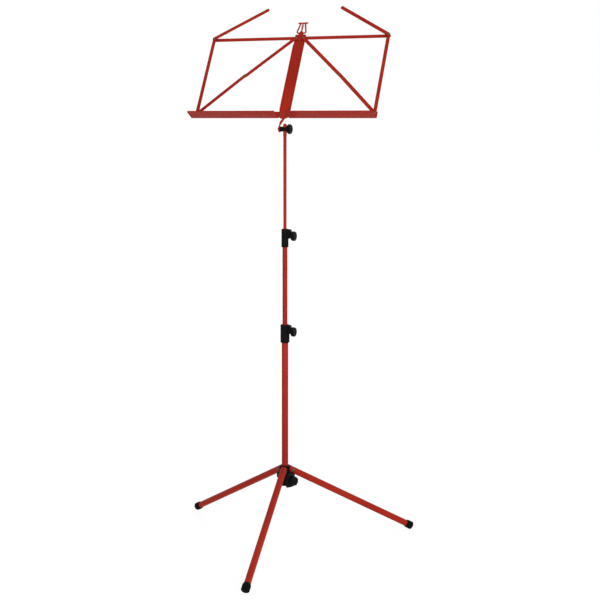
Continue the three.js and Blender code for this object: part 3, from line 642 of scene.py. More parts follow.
def hub():
    pivot_z = LEG_PIVOT.z / MM
    low = pivot_z - HUB_DROP
    high = pivot_z + HUB_RISE
    lobe_top = pivot_z - LOBE_TOP
    past = 1
    core = rod(HUB_CORE, low, high, sides=64, edge=0.5)
    rim_at = HUB_CORE + HUB_RIM_REACH
    outline = [(8, high - 4 * HUB_RIM_EDGE)]
    outline += arc(rim_at, high - 3 * HUB_RIM_EDGE, HUB_RIM_EDGE, -90, 0, 3)
    outline += arc(rim_at, high - HUB_RIM_EDGE, HUB_RIM_EDGE, 0, 90, 3)
    rim = lathe(outline + [(8, high)], sides=96)
    to_knob = turn(math.atan2(KNOB_AXIS.y, KNOB_AXIS.x), "Z")
    knob_side = moved(block((0, -KNOB_LOBE_HALF, low - past), (30, KNOB_LOBE_HALF, high)), to_knob)
    knob_lobe = common(skirt(KNOB_LOBE, low, lobe_top), knob_side)
    inner = PIVOT_RADIUS - LEG_RADIUS - FACE_GAP
    half = LEG_RADIUS + SLOT_CLEARANCE
    slots = []
    fins = []
    for side in ("right", "left", "front"):
        to_leg = turn(leg_angle(side), "Z")
        slots.append(moved(block((inner, -half, low - past), (28, half, high + past)), to_leg))
        fins.append(moved(fin(pivot_z), to_leg))
    drums = union(skirt(LEG_LOBE, pivot_z - LEG_LOBE_DROP, lobe_top), knob_lobe)
    lobes = softened(cut(drums, *slots), 0.9, angle=40, segments=3)
    screw_bore = moved(rod(SCREW_HOLE, 0, 30, sides=24), to_knob @ move(0, 0, low + BASE_KNOB_RISE) @ TO_X)
    mast_bore = rod(LOWER_TUBE + PIN_GAP, low - past, high + past, sides=64)
    body = cut(union(core, rim, lobes, *fins), mast_bore, screw_bore)
    shaped("base_hub", softened(body, 0.3), MAST)


# ---------------------------------------------------------------- knobs, screws, collars
KNOB = 10.2  # thickness
KNOB_NECK = 1.6
KNOB_SUNK = 4.0  # from its face to the bottom of its middle
SCALLOPS = 8
SCALLOP_DEPTH = 0.9
SCREW_RADIUS = 2.5
THREAD_PITCH = 0.8
THREAD_DEPTH = 0.22


def knob(thickness, hole):
    """A lobed knob about Z, its neck starting at z = 0: domed face, sunk middle, scalloped rim."""
    around = 128
    outer = KNOB_NECK + thickness
    # Each row gives a height, a radius and the share of the scallops' depth there.
    section = [
        (0.0, hole, 0), (0.0, 5.6, 0), (0.3, 6.0, 0), (KNOB_NECK, 6.0, 0), (KNOB_NECK + 0.1, 7.0, 0),
        (KNOB_NECK, 10.7, 0.6), (KNOB_NECK + 0.4, 11.8, 1), (KNOB_NECK + 1.4, 12.2, 1),
        (KNOB_NECK + thickness * 0.5, 12.2, 1), (outer - 1.9, 12.0, 1), (outer - 0.8, 11.4, 1),
        (outer - 0.2, 10.5, 0.8), (outer, 9.4, 0.3), (outer - 0.1, 7.2, 0), (outer - 0.5, 6.6, 0),
        (outer - 1.4, 6.3, 0), (outer - 1.5, 5.9, 0), (outer - 1.5, 3.4, 0), (outer - 1.0, 3.0, 0),
        (outer - 0.8, 2.4, 0), (outer - 0.75, 0.0, 0),
        (outer - KNOB_SUNK, 0.0, 0), (outer - KNOB_SUNK, hole, 0),
    ]
    bm = bmesh.new()
    rings = []
    for z, radius, scalloped in section:
        ring = []
        for i in range(around):
            a = 2 * math.pi * i / around
            r = radius - scalloped * SCALLOP_DEPTH * (1 - math.cos(SCALLOPS * a)) * 0.5
            ring.append(bm.verts.new((r * math.cos(a), r * math.sin(a), z)))
        rings.append(ring)
    rings.append(rings[0])
    skin(bm, rings)
    return mesh_of(bm)


def screw(node, axis):
    """A clamp screw in place of a CAD one: a rod with a pointed tip and a thread."""
    low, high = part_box(node)
    axis = Vector(axis).normalized()
    across = 2 * SCREW_RADIUS * MM
    length = ((high - low).x - across * abs(axis.y)) / abs(axis.x)
    half = length / MM / 2
    tip = 0.8
    outline = [(0, -half), (SCREW_RADIUS - tip, -half), (SCREW_RADIUS, tip - half)]
    for i in range(int((2 * half - 2 * tip) / THREAD_PITCH)):
        z = -half + tip + i * THREAD_PITCH
        outline += [(SCREW_RADIUS, z + THREAD_PITCH / 4)]
        outline += [(SCREW_RADIUS - THREAD_DEPTH, z + THREAD_PITCH / 2)]
        outline += [(SCREW_RADIUS, z + THREAD_PITCH * 3 / 4)]
    outline += [(SCREW_RADIUS, half), (0, half)]
    shaped(node, lathe(outline, sides=32, closed=False), along((low + high) / 2, axis), THREADED)


COLLAR_GRIP = 21.8  # down the outer tube
COLLAR_RISE = 24.2  # up the inner tube
BOSS_END = 16.6  # from the mast's axis
BOSS_HALF = 6
BOSS_ABOVE = 17  # the screw
BOSS_BELOW = 8
BOSS_TOP_CORNER = 3.5
BOSS_LOW_CORNER = 1.5
CLAMP_SCREW_RISE = 6.5  # above the end of the outer tube


def collar(name, outer, inner, end_z, wall):
    """A clamp collar with its square boss: ends rolled, the rod's mouth chamfered."""
    outside = outer + FACE_GAP + wall
    outline = [(outer + FACE_GAP, -COLLAR_GRIP)]
    outline += arc(outside - 0.8, 0.8 - COLLAR_GRIP, 0.8, -90, 0, 4)
    outline += [(outside, -1.2), (outside - 0.25, -0.6), (outside - 0.25, 0.2), (outside, 0.8)]
    outline += arc(outside - 1.2, COLLAR_RISE - 1.2, 1.2, 0, 90, 5)
    outline += [(inner + PIN_GAP + 0.9, COLLAR_RISE), (inner + PIN_GAP, COLLAR_RISE - 0.9)]
    outline += [(inner + PIN_GAP, FACE_GAP), (outer + FACE_GAP, FACE_GAP)]
    body = lathe(outline, sides=72)
    top = CLAMP_SCREW_RISE + BOSS_ABOVE
    low = CLAMP_SCREW_RISE - BOSS_BELOW
    low_corner = BOSS_END - BOSS_LOW_CORNER
    shape = [(0, low - 3.5), (low_corner, low + 2.7)]
    shape += arc(low_corner, low + 4.7, BOSS_LOW_CORNER, -60, 0, 4)
    shape += arc(BOSS_END - BOSS_TOP_CORNER, top - BOSS_TOP_CORNER, BOSS_TOP_CORNER, 0, 90, 6)
    shape += [(0, top)]
    boss = moved(plate(shape, -BOSS_HALF, BOSS_HALF, edge=1.4, rounding=4), UPRIGHT)
    screw_bore = moved(rod(SCREW_HOLE, 0, BOSS_END + 1, sides=24), move(0, 0, CLAMP_SCREW_RISE) @ TO_X)
    inner_bore = rod(inner + PIN_GAP, 0, COLLAR_RISE + 1, sides=64)
    outer_bore = rod(outer + FACE_GAP, -COLLAR_GRIP - 1, FACE_GAP, sides=64)
    solid = cut(union(body, boss), screw_bore, inner_bore, outer_bore)
    shaped(f"{name}_collar", softened(solid, 0.4, angle=40), MAST @ move(0, 0, end_z))


# ---------------------------------------------------------------- mast
TUBE_EDGE = 0.3


def span_of(node):
    """The heights of a CAD node's lower and upper end."""
    low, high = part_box(node)
    return low.z / MM, high.z / MM


def pipe(node, outer):
    low, high = span_of(node)
    inner = outer - TUBE_WALL
    mouth = 0.2
    outline = [(inner, low + mouth), (inner + mouth, low)]
    outline += arc(outer - TUBE_EDGE, low + TUBE_EDGE, TUBE_EDGE, -90, 0, 3)
    outline += arc(outer - TUBE_EDGE, high - TUBE_EDGE, TUBE_EDGE, 0, 90, 3)
    outline += [(inner + mouth, high), (inner, high - mouth)]
    shaped(node, lathe(outline), MAST, TURNED)


def bush(node, outer, inner):
    """A plastic glide: a foot that fills the outer tube and a stem inside the inner one."""
    low, high = span_of(node)
    step = low + 6
    outline = [(0, low)] + arc(outer - 0.5, low + 0.5, 0.5, -90, 0, 3) + [(outer, step), (inner, step)]
    outline += arc(inner - 0.8, high - 0.8, 0.8, 0, 90, 3) + [(0, high)]
    shaped(node, lathe(outline, sides=48, closed=False), MAST, TURNED)


def plug():
    low, high = span_of("lower_tube_plug")
    stem = LOWER_TUBE - TUBE_WALL - FACE_GAP
    outline = [(0, low)] + arc(LOWER_TUBE - 0.8, low + 0.8, 0.8, -90, 0, 4)
    outline += [(LOWER_TUBE, low + 2), (stem, low + 2), (stem, high), (0, high)]
    shaped("lower_tube_plug", lathe(outline, sides=48, closed=False), MAST, TURNED)


ROD_EYE_RISE = 13.2  # from the bolt to the top of the eye
ROD_EYE_WIDTH = 4.2  # half, across the mast
ROD_EYE = 7.2  # thickness along the bolt
ROD_NECK = 16  # from the bolt down to where the tube is flattened
BOLT_HOLE = 2.6


def top_rod():
    low, _ = span_of("top_rod")
    bolt = BOLT.z / MM
    neck = bolt - ROD_NECK
    bore = TOP_ROD - TUBE_WALL
    outline = [(bore, low)] + arc(TOP_ROD - TUBE_EDGE, low + TUBE_EDGE, TUBE_EDGE, -90, 0, 3)
    solid_low = neck - 6
    solid_high = neck + 5
    outline += [(TOP_ROD, neck + 3), (3.3, solid_high), (0, solid_high), (0, solid_low), (bore, solid_low)]
    body = lathe(outline, sides=48)
    crown = bolt + ROD_EYE_RISE - ROD_EYE_WIDTH
    shape = [(-3.6, neck - 2), (3.6, neck - 2), (ROD_EYE_WIDTH, neck + 4)]
    shape += arc(0, crown, ROD_EYE_WIDTH, 0, 180, 16) + [(-ROD_EYE_WIDTH, neck + 4)]
    hole = circle(0, bolt, BOLT_HOLE)
    eye = plate(shape, -ROD_EYE / 2, ROD_EYE / 2, [hole], edge=1.2, rounding=4)
    moved(eye, turn(QUARTER, "Z") @ UPRIGHT)
    shaped("top_rod", softened(union(body, eye), 0.3), MAST)


# ---------------------------------------------------------------- tilt joint
BARREL_LEFT = 12.6
BARREL_RIGHT = 6.2
BARREL_RADIUS = 6.2
TILT_KNOB = 9.2  # thickness
EAR = 2.5  # thickness of the bracket's ear
EAR_RADIUS = 8
BOLT_RADIUS = 2.2
TILT_HOLE = 2.5  # in the ear and in the knob
BARREL_GROOVE = [(5.8, -9.0), (7, -9.6), (7, -7.8), (5.8, -8.4)]  # as (radius, place along the bolt)
# The head of the tilt bolt, as (radius, height).
BOLT_DOME = [(0, 2.6), (2.6, 2.5), (4.4, 1.9), (5.6, 0.9), (6, 0.2), (6, 0)]


def tilt_joint():
    barrel = moved(rod(BARREL_RADIUS, -BARREL_LEFT, BARREL_RIGHT, sides=64, edge=0.6), TO_X)
    groove = moved(lathe(BARREL_GROOVE), TO_X)
    gap = ROD_EYE / 2 + FACE_GAP
    beside = ROD_EYE_WIDTH + FACE_GAP
    past = 20
    slot = block((-gap, -beside, -past), (gap, beside, past))
    hole = moved(rod(BOLT_HOLE, -past, past, sides=24), TO_X)
    shaped("tilt_barrel", cut(barrel, groove, hole, slot), MAST @ move(0, 0, BOLT.z / MM))

    left = -BARREL_LEFT - FACE_GAP - EAR - FACE_GAP
    right = BARREL_RIGHT + FACE_GAP + KNOB_NECK + TILT_KNOB - KNOB_SUNK - FACE_GAP
    outline = [(r, left - h) for r, h in BOLT_DOME]
    outline += [(BOLT_RADIUS, left), (BOLT_RADIUS, right - 0.4), (BOLT_RADIUS - 0.4, right), (0, right)]
    bolt = lathe(outline, sides=48, closed=False)
    shaped("tilt_bolt", moved(bolt, TO_X), AT_BOLT, TURNED)
    origin = Vector(joint["tilt_knob_turn"]["pos_m"])
    shaped("tilt_knob", knob(TILT_KNOB, TILT_HOLE), along(origin, (1, 0, 0)))


STRAP_HALF = 2.6  # half its width behind the spine
STRAP_THICK = 2.0
TONGUE_RIVET = 3.2  # below the rivets of the tray
TONGUE_HOLE = 1.5


def bracket():
    """The strap from behind the spine: a flat tongue that twists a quarter turn into a round ear."""
    tab_front = BOLT_BEHIND_DESK - FACE_GAP
    tab_top = BOLT_BELOW_DESK - 0.5
    tab_low = BOLT_BELOW_DESK - 12
    ear_front = -BARREL_LEFT - FACE_GAP
    ear_back = ear_front - EAR
    outline = [(-STRAP_HALF, tab_low - 0.5), (STRAP_HALF, tab_low - 0.5)]
    outline += arc(0, tab_top - STRAP_HALF, STRAP_HALF, 0, 180, 12)
    hole = circle(0, BOLT_BELOW_DESK - TONGUE_RIVET, TONGUE_HOLE)
    tab = plate(outline, tab_front - STRAP_THICK, tab_front, [hole], edge=0.35)

    # The middle line of the twist, a Bezier curve from the tongue's end to the ear's rim.
    start = Vector((0, tab_low, tab_front - STRAP_THICK / 2))
    rim = Vector((start.y, start.z)).normalized() * EAR_RADIUS * 0.72
    end = Vector(((ear_front + ear_back) / 2, rim.x, rim.y))
    start_pull = start + Vector((-5, -5, -0.5))
    end_pull = end + Vector((0, rim.x * 0.9, rim.y * 0.9))

    def at(t):
        s = 1 - t
        return start * s**3 + start_pull * 3 * s * s * t + end_pull * 3 * s * t * t + end * t**3

    bm = bmesh.new()
    rings = []
    steps = 28
    nearby = 0.01
    r = 0.35
    for i in range(steps + 1):
        t = i / steps
        here = at(t)
        ahead = (at(min(t + nearby, 1)) - at(max(t - nearby, 0))).normalized()
        smooth = t * t * (3 - 2 * t)
        flat = Vector((1, 0, 0))
        flat = (flat - ahead * flat.dot(ahead)).normalized()
        wide = Matrix.Rotation(QUARTER * smooth, 3, ahead) @ flat
        across = ahead.cross(wide)
        a = STRAP_HALF + t * STRAP_HALF * 0.5 - r
        b = (STRAP_THICK + t * 0.5) / 2 - r
        ring = []
        for sx, sy, corner in ((1, 1, 0), (-1, 1, 90), (-1, -1, 180), (1, -1, 270)):
            for x, y in arc(sx * a, sy * b, r, corner, corner + 90, 2):
                ring.append(bm.verts.new(here + wide * x + across * y))
        rings.append(ring)
    skin(bm, rings)
    bm.faces.new(rings[0][::-1])
    bm.faces.new(rings[-1])
    strap = mesh_of(bm)
    ear = moved(rod(EAR_RADIUS, ear_back, ear_front, sides=64, edge=0.4), TO_X)
    inside = moved(rod(EAR_RADIUS * 0.6, ear_back - 5, ear_front + 5), TO_X)
    ear_hole = moved(rod(TILT_HOLE, ear_back - 1, ear_front + 1, sides=32), TO_X)
    shaped("tilt_bracket", union(tab, cut(strap, inside), cut(ear, ear_hole)), AT_BOLT)


# ---------------------------------------------------------------- desk
# u runs across the desk from its middle, v up from the rivets of the tray, n towards the reader.
REACH = 225  # from a half's inner rivets to its outer ones
HEIGHT = 220  # from the rivets of the tray to the top ones
INNER = 10
OUTER = INNER + REACH
BAR = 9.1  # width of a strip
BAR_THICK = 1.6
WEB = 1.5  # thickness of the spine and of the tray
HOLE = 2.0
PAGE_ARM = 157  # length between its rivet and its tip's middle
PAGE_ARM_RISE = math.radians(31.7)
TRAY_PAST = {"left": 17, "right": 4.2}  # past the outer rivet
# A desk rivet's head, as (share of its radius, share of its height).
HEAD_DOME = [(0, 1), (0.4, 0.95), (0.75, 0.68), (0.95, 0.3), (1, 0)]


def layer(index):
    """The back and front of a strip, counted from the spine."""
    back = WEB + FACE_GAP + index * (BAR_THICK + FACE_GAP)
    return back, back + BAR_THICK


TOP_BAR, UPPER, LOWER, SIDE_BAR, ARM = (layer(i) for i in range(5))
FLANGE = (-FACE_GAP - WEB, -FACE_GAP)


def middle_pivot():
    """Where a half's two diagonals meet, a little above the straight line between their rivets."""
    span = math.hypot(REACH, HEIGHT)
    upper = 160
    bow = 2.3
    down = Vector((REACH, -HEIGHT)) / span
    out = Vector((HEIGHT, REACH)) / span
    return Vector((INNER, HEIGHT)) + down * math.sqrt(upper**2 - bow**2) + out * bow


MIDDLE = tuple(middle_pivot())


def strip(node, start, end, place, holes, flip):
    """A steel strip with rounded ends between two rivets, with holes at these shares of its length."""
    span = Vector(end) - Vector(start)
    half = BAR / 2
    outline = arc(0, 0, half, 90, 270, 16) + arc(span.length, 0, half, -90, 90, 16)
    loops = [circle(span.length * h, 0, HOLE) for h in holes]
    mesh = plate(outline, *place, loops, edge=0.5, rounding=3)
    shaped(node, mesh, DESK @ flip @ move(*start, 0) @ turn(math.atan2(span.y, span.x), "Z"))


def rivet(node, at, back, front, heads, flip, radius=1.6, head=3.2, rise=1.2):
    dome = [(head * r, rise * h) for r, h in HEAD_DOME]
    if "front" in heads:
        outline = [(r, front + h) for r, h in dome] + [(radius, front)]
    else:
        outline = [(0, front), (radius, front)]
    if "back" in heads:
        outline += [(radius, back)] + [(r, back - h) for r, h in reversed(dome)]
    else:
        outline += [(radius, back), (0, back)]
    shaped(node, lathe(outline, sides=32, closed=False), DESK @ flip @ move(*at, 0), TURNED)


def spacer(node, at, back, front, flip):
    outer = 3.0
    edge = 0.2
    outline = [(HOLE, back), (outer - edge, back), (outer, back + edge)]
    outline += [(outer, front - edge), (outer - edge, front), (HOLE, front)]
    shaped(node, lathe(outline, sides=32), DESK @ flip @ move(*at, 0), TURNED)


SPINE_HALF = 14.6
SPINE_ABOVE = 12  # past the top rivets
SPINE_CORNER = 2
SPINE_SHOULDER = 1.1  # where its rounded lower end starts
CURL_START = -6.5
CURL_RADIUS = 14  # of the outer face
CURL = math.radians(30)
RIM_LOW = 8
RIM_HIGH = 205
RIM_SLOPE = 5  # from each end of a rim to the middle of its rounding
RIM_ROUNDING = 2.0
RIM_THICK = 1.2


def spine():
    top = HEIGHT + SPINE_ABOVE
    side = SPINE_HALF - SPINE_CORNER
    low = CURL_START - (CURL_RADIUS - WEB / 2) * CURL
    outline = arc(side, top - SPINE_CORNER, SPINE_CORNER, 0, 90, 4)
    outline += arc(-side, top - SPINE_CORNER, SPINE_CORNER, 90, 180, 4)
    steps = 32
    for i in range(steps + 1):
        a = math.pi + math.pi * i / steps
        outline.append((SPINE_HALF * math.cos(a), SPINE_SHOULDER + (SPINE_SHOULDER - low) * math.sin(a)))
    holes = [circle(s * INNER, v, HOLE) for s in (-1, 1) for v in (0, HEIGHT)]
    holes.append(circle(0, -TONGUE_RIVET, TONGUE_HOLE))
    web = plate(outline, 0, WEB, holes, edge=0.4, rounding=3)
    web = bent(web, CURL_START, CURL_RADIUS - WEB, CURL, 0, WEB)
    shape = [(RIM_LOW, 0.4), (RIM_HIGH, 0.4)]
    shape += arc(RIM_HIGH - RIM_SLOPE, RIM_ROUNDING, RIM_ROUNDING, 40, 90, 4)
    shape += arc(RIM_LOW + RIM_SLOPE, RIM_ROUNDING, RIM_ROUNDING, 90, 140, 4)
    # A rim is drawn as v across and n up, then stood up so that its thickness runs along u.
    stood = Matrix(((0, 0, 1, 0), (1, 0, 0, 0), (0, 1, 0, 0), (0, 0, 0, 1)))
    rims = []
    for s in (-1, 1):
        inner, outer = sorted((s * SPINE_HALF, s * (SPINE_HALF - RIM_THICK)))
        rims.append(moved(plate(shape, inner, outer, edge=0.35), stood))
    shaped("spine", union(web, *rims), DESK, PRESSED)

    back = -FACE_GAP - STRAP_THICK - FACE_GAP
    front = WEB + FACE_GAP
    at = (0, -TONGUE_RIVET)
    rivet("tongue_rivet", at, back, front, ("front", "back"), UNFLIPPED, radius=1.2, head=2.4, rise=1.0)


LYRE_HEIGHT = 36
LYRE_HALF = 13.6
LYRE_TAB = 5.4  # half the width of its foot
LYRE_FOOT = 17.5  # down the spine
LYRE_BULB = 12  # height of its solid part
LYRE_BAR = 4
LYRE_FRAME = 4
LYRE_STRING = 1.1  # half its width
LYRE_FAN = 2.4  # from the middle to a string's upper end


def ribbon(points, width, back, front):
    """A band of even width along a smooth curve through the points."""
    steps = 40
    line = []
    ends = [points[0], *points, points[-1]]
    for i in range(steps + 1):
        t = i / steps * (len(points) - 1)
        k = min(int(t), len(points) - 2)
        u = t - k
        p0, p1, p2, p3 = (Vector(ends[k + j]) for j in range(4))
        square = (2 * p0 - 5 * p1 + 4 * p2 - p3) * u**2
        cube = (3 * p1 - p0 - 3 * p2 + p3) * u**3
        line.append(0.5 * ((2 * p1) + (p2 - p0) * u + square + cube))
    left, right = [], []
    for i, here in enumerate(line):
        ahead = (line[min(i + 1, steps)] - line[max(i - 1, 0)]).normalized()
        side = Vector((-ahead.y, ahead.x)) * width / 2
        left.append(tuple(here + side))
        right.append(tuple(here - side))
    return plate(right + left[::-1], back, front, edge=0.45, rounding=3)


def lyre():
    base = HEIGHT + SPINE_ABOVE + FACE_GAP
    top = base + LYRE_HEIGHT
    tab_front = WEB + FACE_GAP + WEB
    corner = 1.5
    step = base + 3
    foot_low = base - LYRE_FOOT
    shape = [(-LYRE_TAB, foot_low)] + arc(corner - LYRE_TAB, foot_low, corner, 180, 270, 4)
    shape += arc(LYRE_TAB - corner, foot_low, corner, 270, 360, 4) + [(LYRE_TAB, step), (-LYRE_TAB, step)]
    parts = [plate(shape, WEB + FACE_GAP, tab_front, edge=0.35)]
    parts.append(block((-LYRE_TAB, base, 0), (LYRE_TAB, step, tab_front), edge=0.3))
    right = []
    steps = 12
    for i in range(steps + 1):
        t = i / steps
        s = 1 - t
        right.append((LYRE_TAB * s * s + 2 * LYRE_HALF * 0.6 * s * t, base + LYRE_BULB * t))
    left = [(-x, y) for x, y in reversed(right[:-1])]
    parts.append(plate(right + left, 0, WEB, edge=0.45, rounding=3))
    for side in (-1, 1):
        points = [
            (side * LYRE_TAB * 0.6, base + 2),
            (side * LYRE_HALF * 0.8, base + LYRE_HEIGHT * 0.17),
            (side * LYRE_HALF * 0.8, base + LYRE_HEIGHT * 0.34),
            (side * LYRE_HALF * 0.6, base + LYRE_HEIGHT * 0.66),
            (side * LYRE_HALF * 0.5, top - 2),
        ]
        parts.append(ribbon(points, LYRE_FRAME, 0, WEB))
        string = [(side * LYRE_FAN - LYRE_STRING, top - 1), (-LYRE_STRING, base + 6)]
        string += [(LYRE_STRING, base + 6), (side * LYRE_FAN + LYRE_STRING, top - 1)]
        parts.append(plate(string, 0, WEB, edge=0.35))
    bar_half = LYRE_HALF - 0.8
    bar = [(-LYRE_HALF, top), (-bar_half, top - LYRE_BAR), (bar_half, top - LYRE_BAR), (LYRE_HALF, top)]
    parts.append(plate(bar, 0, WEB, edge=0.45, rounding=3))
    shaped("lyre_finial", union(parts[0], *parts[1:]), DESK)


FLANGE_ABOVE = 9  # the rivets of the tray
FLANGE_BELOW = 10
TRAY_LIP = 34  # from the spine's back to the lip's front edge
TRAY_INSET = 14.4  # from the desk's middle to the lip's inner end
TRAY_CORNER = 6
TRAY_BEND = 1.0  # radius of the inner face


def tray(side, flip):
    """An angle folded from one sheet: the flange behind the spine and the lip that carries the sheets."""
    end = OUTER + TRAY_PAST[side]
    bend = (TRAY_BEND + WEB / 2) * QUARTER
    start = WEB + TRAY_BEND - FLANGE_BELOW
    low = start - bend - (TRAY_LIP - (FLANGE[1] + TRAY_BEND))
    outline = [(INNER, FLANGE_ABOVE), *arc(INNER, 0, 7, 90, 270, 16)]
    outline += [(INNER + 2, start + 0.4), (TRAY_INSET - 0.4, start - 0.2), (TRAY_INSET, start - 0.8)]
    outline += arc(TRAY_INSET + 2, low + 2, 2, 180, 270, 4)
    outline += arc(end - TRAY_CORNER, low + TRAY_CORNER, TRAY_CORNER, -90, 0, 8)
    outline += arc(end - 2, FLANGE_ABOVE - 2, 2, 0, 90, 4)
    holes = [circle(INNER, 0, HOLE), circle(OUTER, 0, HOLE)]
    sheet = plate(outline, *FLANGE, holes, edge=0.4, rounding=3)
    shaped(f"{side}_tray", bent(sheet, start, TRAY_BEND, QUARTER, *FLANGE), DESK @ flip, PRESSED)


def desk_side(side):
    flip = MIRROR if side == "left" else UNFLIPPED
    foot_at = (INNER, 0)
    head = (INNER, HEIGHT)
    outer = (OUTER, 0)
    corner = (OUTER, HEIGHT)
    tip = (OUTER - PAGE_ARM * math.cos(PAGE_ARM_RISE), HEIGHT + PAGE_ARM * math.sin(PAGE_ARM_RISE))
    tray(side, flip)
    strip(f"{side}_top_bar", head, corner, TOP_BAR, (0, 1), flip)
    strip(f"{side}_side_bar", outer, corner, SIDE_BAR, (0, 1), flip)
    strip(f"{side}_upper_diagonal", head, MIDDLE, UPPER, (0,), flip)
    strip(f"{side}_lower_diagonal", outer, MIDDLE, LOWER, (0, 1), flip)
    strip(f"{side}_page_arm", corner, tip, ARM, (0,), flip)
    behind = FLANGE[0] - FACE_GAP
    both = ("front", "back")
    rivet(f"{side}_tray_rivet", foot_at, behind, WEB + FACE_GAP, both, flip)
    rivet(f"{side}_top_rivet", head, 0, UPPER[1] + FACE_GAP, ("front",), flip)
    rivet(f"{side}_outer_rivet", outer, behind, SIDE_BAR[1] + FACE_GAP, both, flip)
    rivet(f"{side}_corner_rivet", corner, WEB, ARM[1] + FACE_GAP, both, flip)
    rivet(f"{side}_middle_rivet", MIDDLE, LOWER[0], LOWER[1] + FACE_GAP, ("front",), flip)
    spacer(f"{side}_outer_spacer", outer, 0, LOWER[0] - FACE_GAP, flip)
    spacer(f"{side}_corner_spacer", corner, TOP_BAR[1] + FACE_GAP, SIDE_BAR[0] - FACE_GAP, flip)


# ---------------------------------------------------------------- assembly
CLAMP_KNOB_HOLE = 2.8
LOWER_COLLAR_WALL = 3
UPPER_COLLAR_WALL = 2.4

for side in ("right", "left", "front"):
    leg(side)
hub()
base_knob_at = along(joint["base_knob_turn"]["pos_m"], KNOB_AXIS)
shaped("base_knob", knob(KNOB, CLAMP_KNOB_HOLE), base_knob_at)
pipe("lower_tube", LOWER_TUBE)
pipe("middle_tube", MIDDLE_TUBE)
plug()
bush("middle_tube_bush", LOWER_TUBE - TUBE_WALL - PIN_GAP, MIDDLE_TUBE - TUBE_WALL - PIN_GAP)
bush("top_rod_bush", MIDDLE_TUBE - TUBE_WALL - PIN_GAP, TOP_ROD - TUBE_WALL - PIN_GAP)
top_rod()
collar("lower_clamp", LOWER_TUBE, MIDDLE_TUBE, span_of("lower_tube")[1], LOWER_COLLAR_WALL)
collar("upper_clamp", MIDDLE_TUBE, TOP_ROD, span_of("middle_tube")[1], UPPER_COLLAR_WALL)
for name in ("lower", "upper"):
    origin = joint[f"{name}_knob_turn"]["pos_m"]
    shaped(f"{name}_clamp_knob", knob(KNOB, CLAMP_KNOB_HOLE), along(origin, (1, 0, 0)))
    screw(f"{name}_clamp_screw", (1, 0, 0))
screw("base_screw", KNOB_AXIS)
tilt_joint()
bracket()
spine()
lyre()
desk_side("left")
desk_side("right")

# ---------------------------------------------------------------- room, light and camera
WHITE = (1, 1, 1, 1)
PAPER = (0.9, 0.9, 0.9, 1)
PAPER_GLOW = 1.06
ROOM_GLOW = 0.28
DIRECT_RAYS = ("Is Camera Ray", "Is Glossy Ray", "Is Transmission Ray")
FLOOR_SIZE = 40


def floor():
    """White paper. The camera sees it as white, with the stand's soft shadow, and fully white far away."""
    bm = bmesh.new()
    bmesh.ops.create_grid(bm, x_segments=2, y_segments=2, size=FLOOR_SIZE)
    mesh = bpy.data.meshes.new("floor")
    bm.to_mesh(mesh)
    bm.free()
    made = placed("floor", mesh)
    n = Nodes("floor_paper")
    distance = n.add("ShaderNodeVectorMath", operation="LENGTH")
    n.link(n.place, distance.inputs[0])
    share = n.spread(distance.outputs["Value"], 0.5, 2.0, to_low=0.86)
    glow = n.add("ShaderNodeEmission")
    glow.inputs["Strength"].default_value = PAPER_GLOW
    path = n.add("ShaderNodeLightPath")
    seen = path.outputs[DIRECT_RAYS[0]]
    for ray in DIRECT_RAYS[1:]:
        seen = n.math("MAXIMUM", seen, path.outputs[ray])
    n.set(Base_Color=PAPER, Roughness=0.9, Specular_IOR_Level=0.1)
    mixed = n.add("ShaderNodeMixShader")
    n.link(n.times(seen, share), mixed.inputs["Fac"])
    n.link(n.shader.outputs[0], mixed.inputs[1])
    n.link(glow.outputs[0], mixed.inputs[2])
    n.link(mixed.outputs[0], n.tree.nodes["Material Output"].inputs["Surface"])
    mesh.materials.append(n.material)


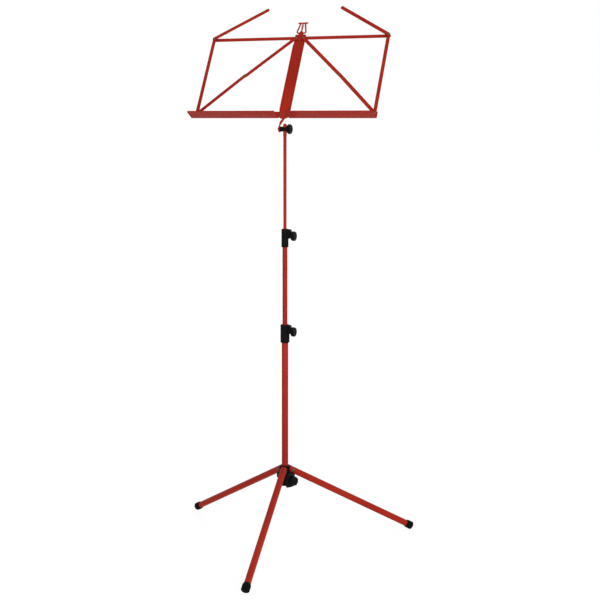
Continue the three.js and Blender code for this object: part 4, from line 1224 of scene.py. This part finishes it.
def sky():
    """A grey room that lights the stand evenly, and looks white to the camera and in gloss and glass."""
    world = bpy.data.worlds.new("studio")
    bpy.context.scene.world = world
    world.use_nodes = True
    nodes, links = world.node_tree.nodes, world.node_tree.links
    nodes.clear()
    path = nodes.new("ShaderNodeLightPath")
    seen = path.outputs[DIRECT_RAYS[0]]
    for ray in DIRECT_RAYS[1:]:
        either = nodes.new("ShaderNodeMath")
        either.operation = "MAXIMUM"
        links.new(seen, either.inputs[0])
        links.new(path.outputs[ray], either.inputs[1])
        seen = either.outputs[0]
    mixed = nodes.new("ShaderNodeMixShader")
    links.new(seen, mixed.inputs["Fac"])
    for socket, strength in ((1, ROOM_GLOW), (2, 1.0)):
        background = nodes.new("ShaderNodeBackground")
        background.inputs["Color"].default_value = WHITE
        background.inputs["Strength"].default_value = strength
        links.new(background.outputs[0], mixed.inputs[socket])
    out = nodes.new("ShaderNodeOutputWorld")
    links.new(mixed.outputs[0], out.inputs["Surface"])


def lamp(name, place, aim, size, power):
    data = bpy.data.lights.new(name, "AREA")
    data.shape = "RECTANGLE"
    data.size, data.size_y = size
    data.energy = power
    made = placed(name, data)
    made.location = place
    made.rotation_euler = (Vector(aim) - Vector(place)).to_track_quat("-Z", "Y").to_euler()


MIDDLE_OF_STAND = (0, 0, 0.7)
floor()
sky()
lamp("key", (1.9, -2.9, 2.4), MIDDLE_OF_STAND, (1.8, 1.8), 73)
lamp("low", (1.1, -3.2, 0.45), (0, 0, 1.1), (1.6, 0.8), 22)
lamp("left", (-2.8, -1.6, 2.0), MIDDLE_OF_STAND, (1.4, 2.0), 10)
lamp("right", (3.0, -1.2, 1.8), MIDDLE_OF_STAND, (1.4, 2.0), 24)
lamp("back", (0.5, 3.0, 2.5), MIDDLE_OF_STAND, (2.0, 1.5), 38)


def camera():
    azimuth = math.radians(21.44)
    distance = 2.8563
    height = 1.08
    pan = azimuth - math.radians(0.765)
    pitch = math.radians(-8.785)
    roll = math.radians(0.11)
    data = bpy.data.cameras.new("camera")
    data.sensor_width = 36
    data.lens = 68.367
    made = placed("camera", data)
    place = AXIS + Vector((distance * math.sin(azimuth), -distance * math.cos(azimuth), height))
    ahead = Vector(
        (-math.sin(pan) * math.cos(pitch), math.cos(pan) * math.cos(pitch), math.sin(pitch))
    )
    facing = ahead.to_track_quat("-Z", "Y").to_matrix().to_4x4()
    made.matrix_world = Matrix.Translation(place) @ facing @ turn(roll, "Z")
    bpy.context.scene.camera = made


camera()
bpy.context.scene.view_settings.view_transform = "Standard"
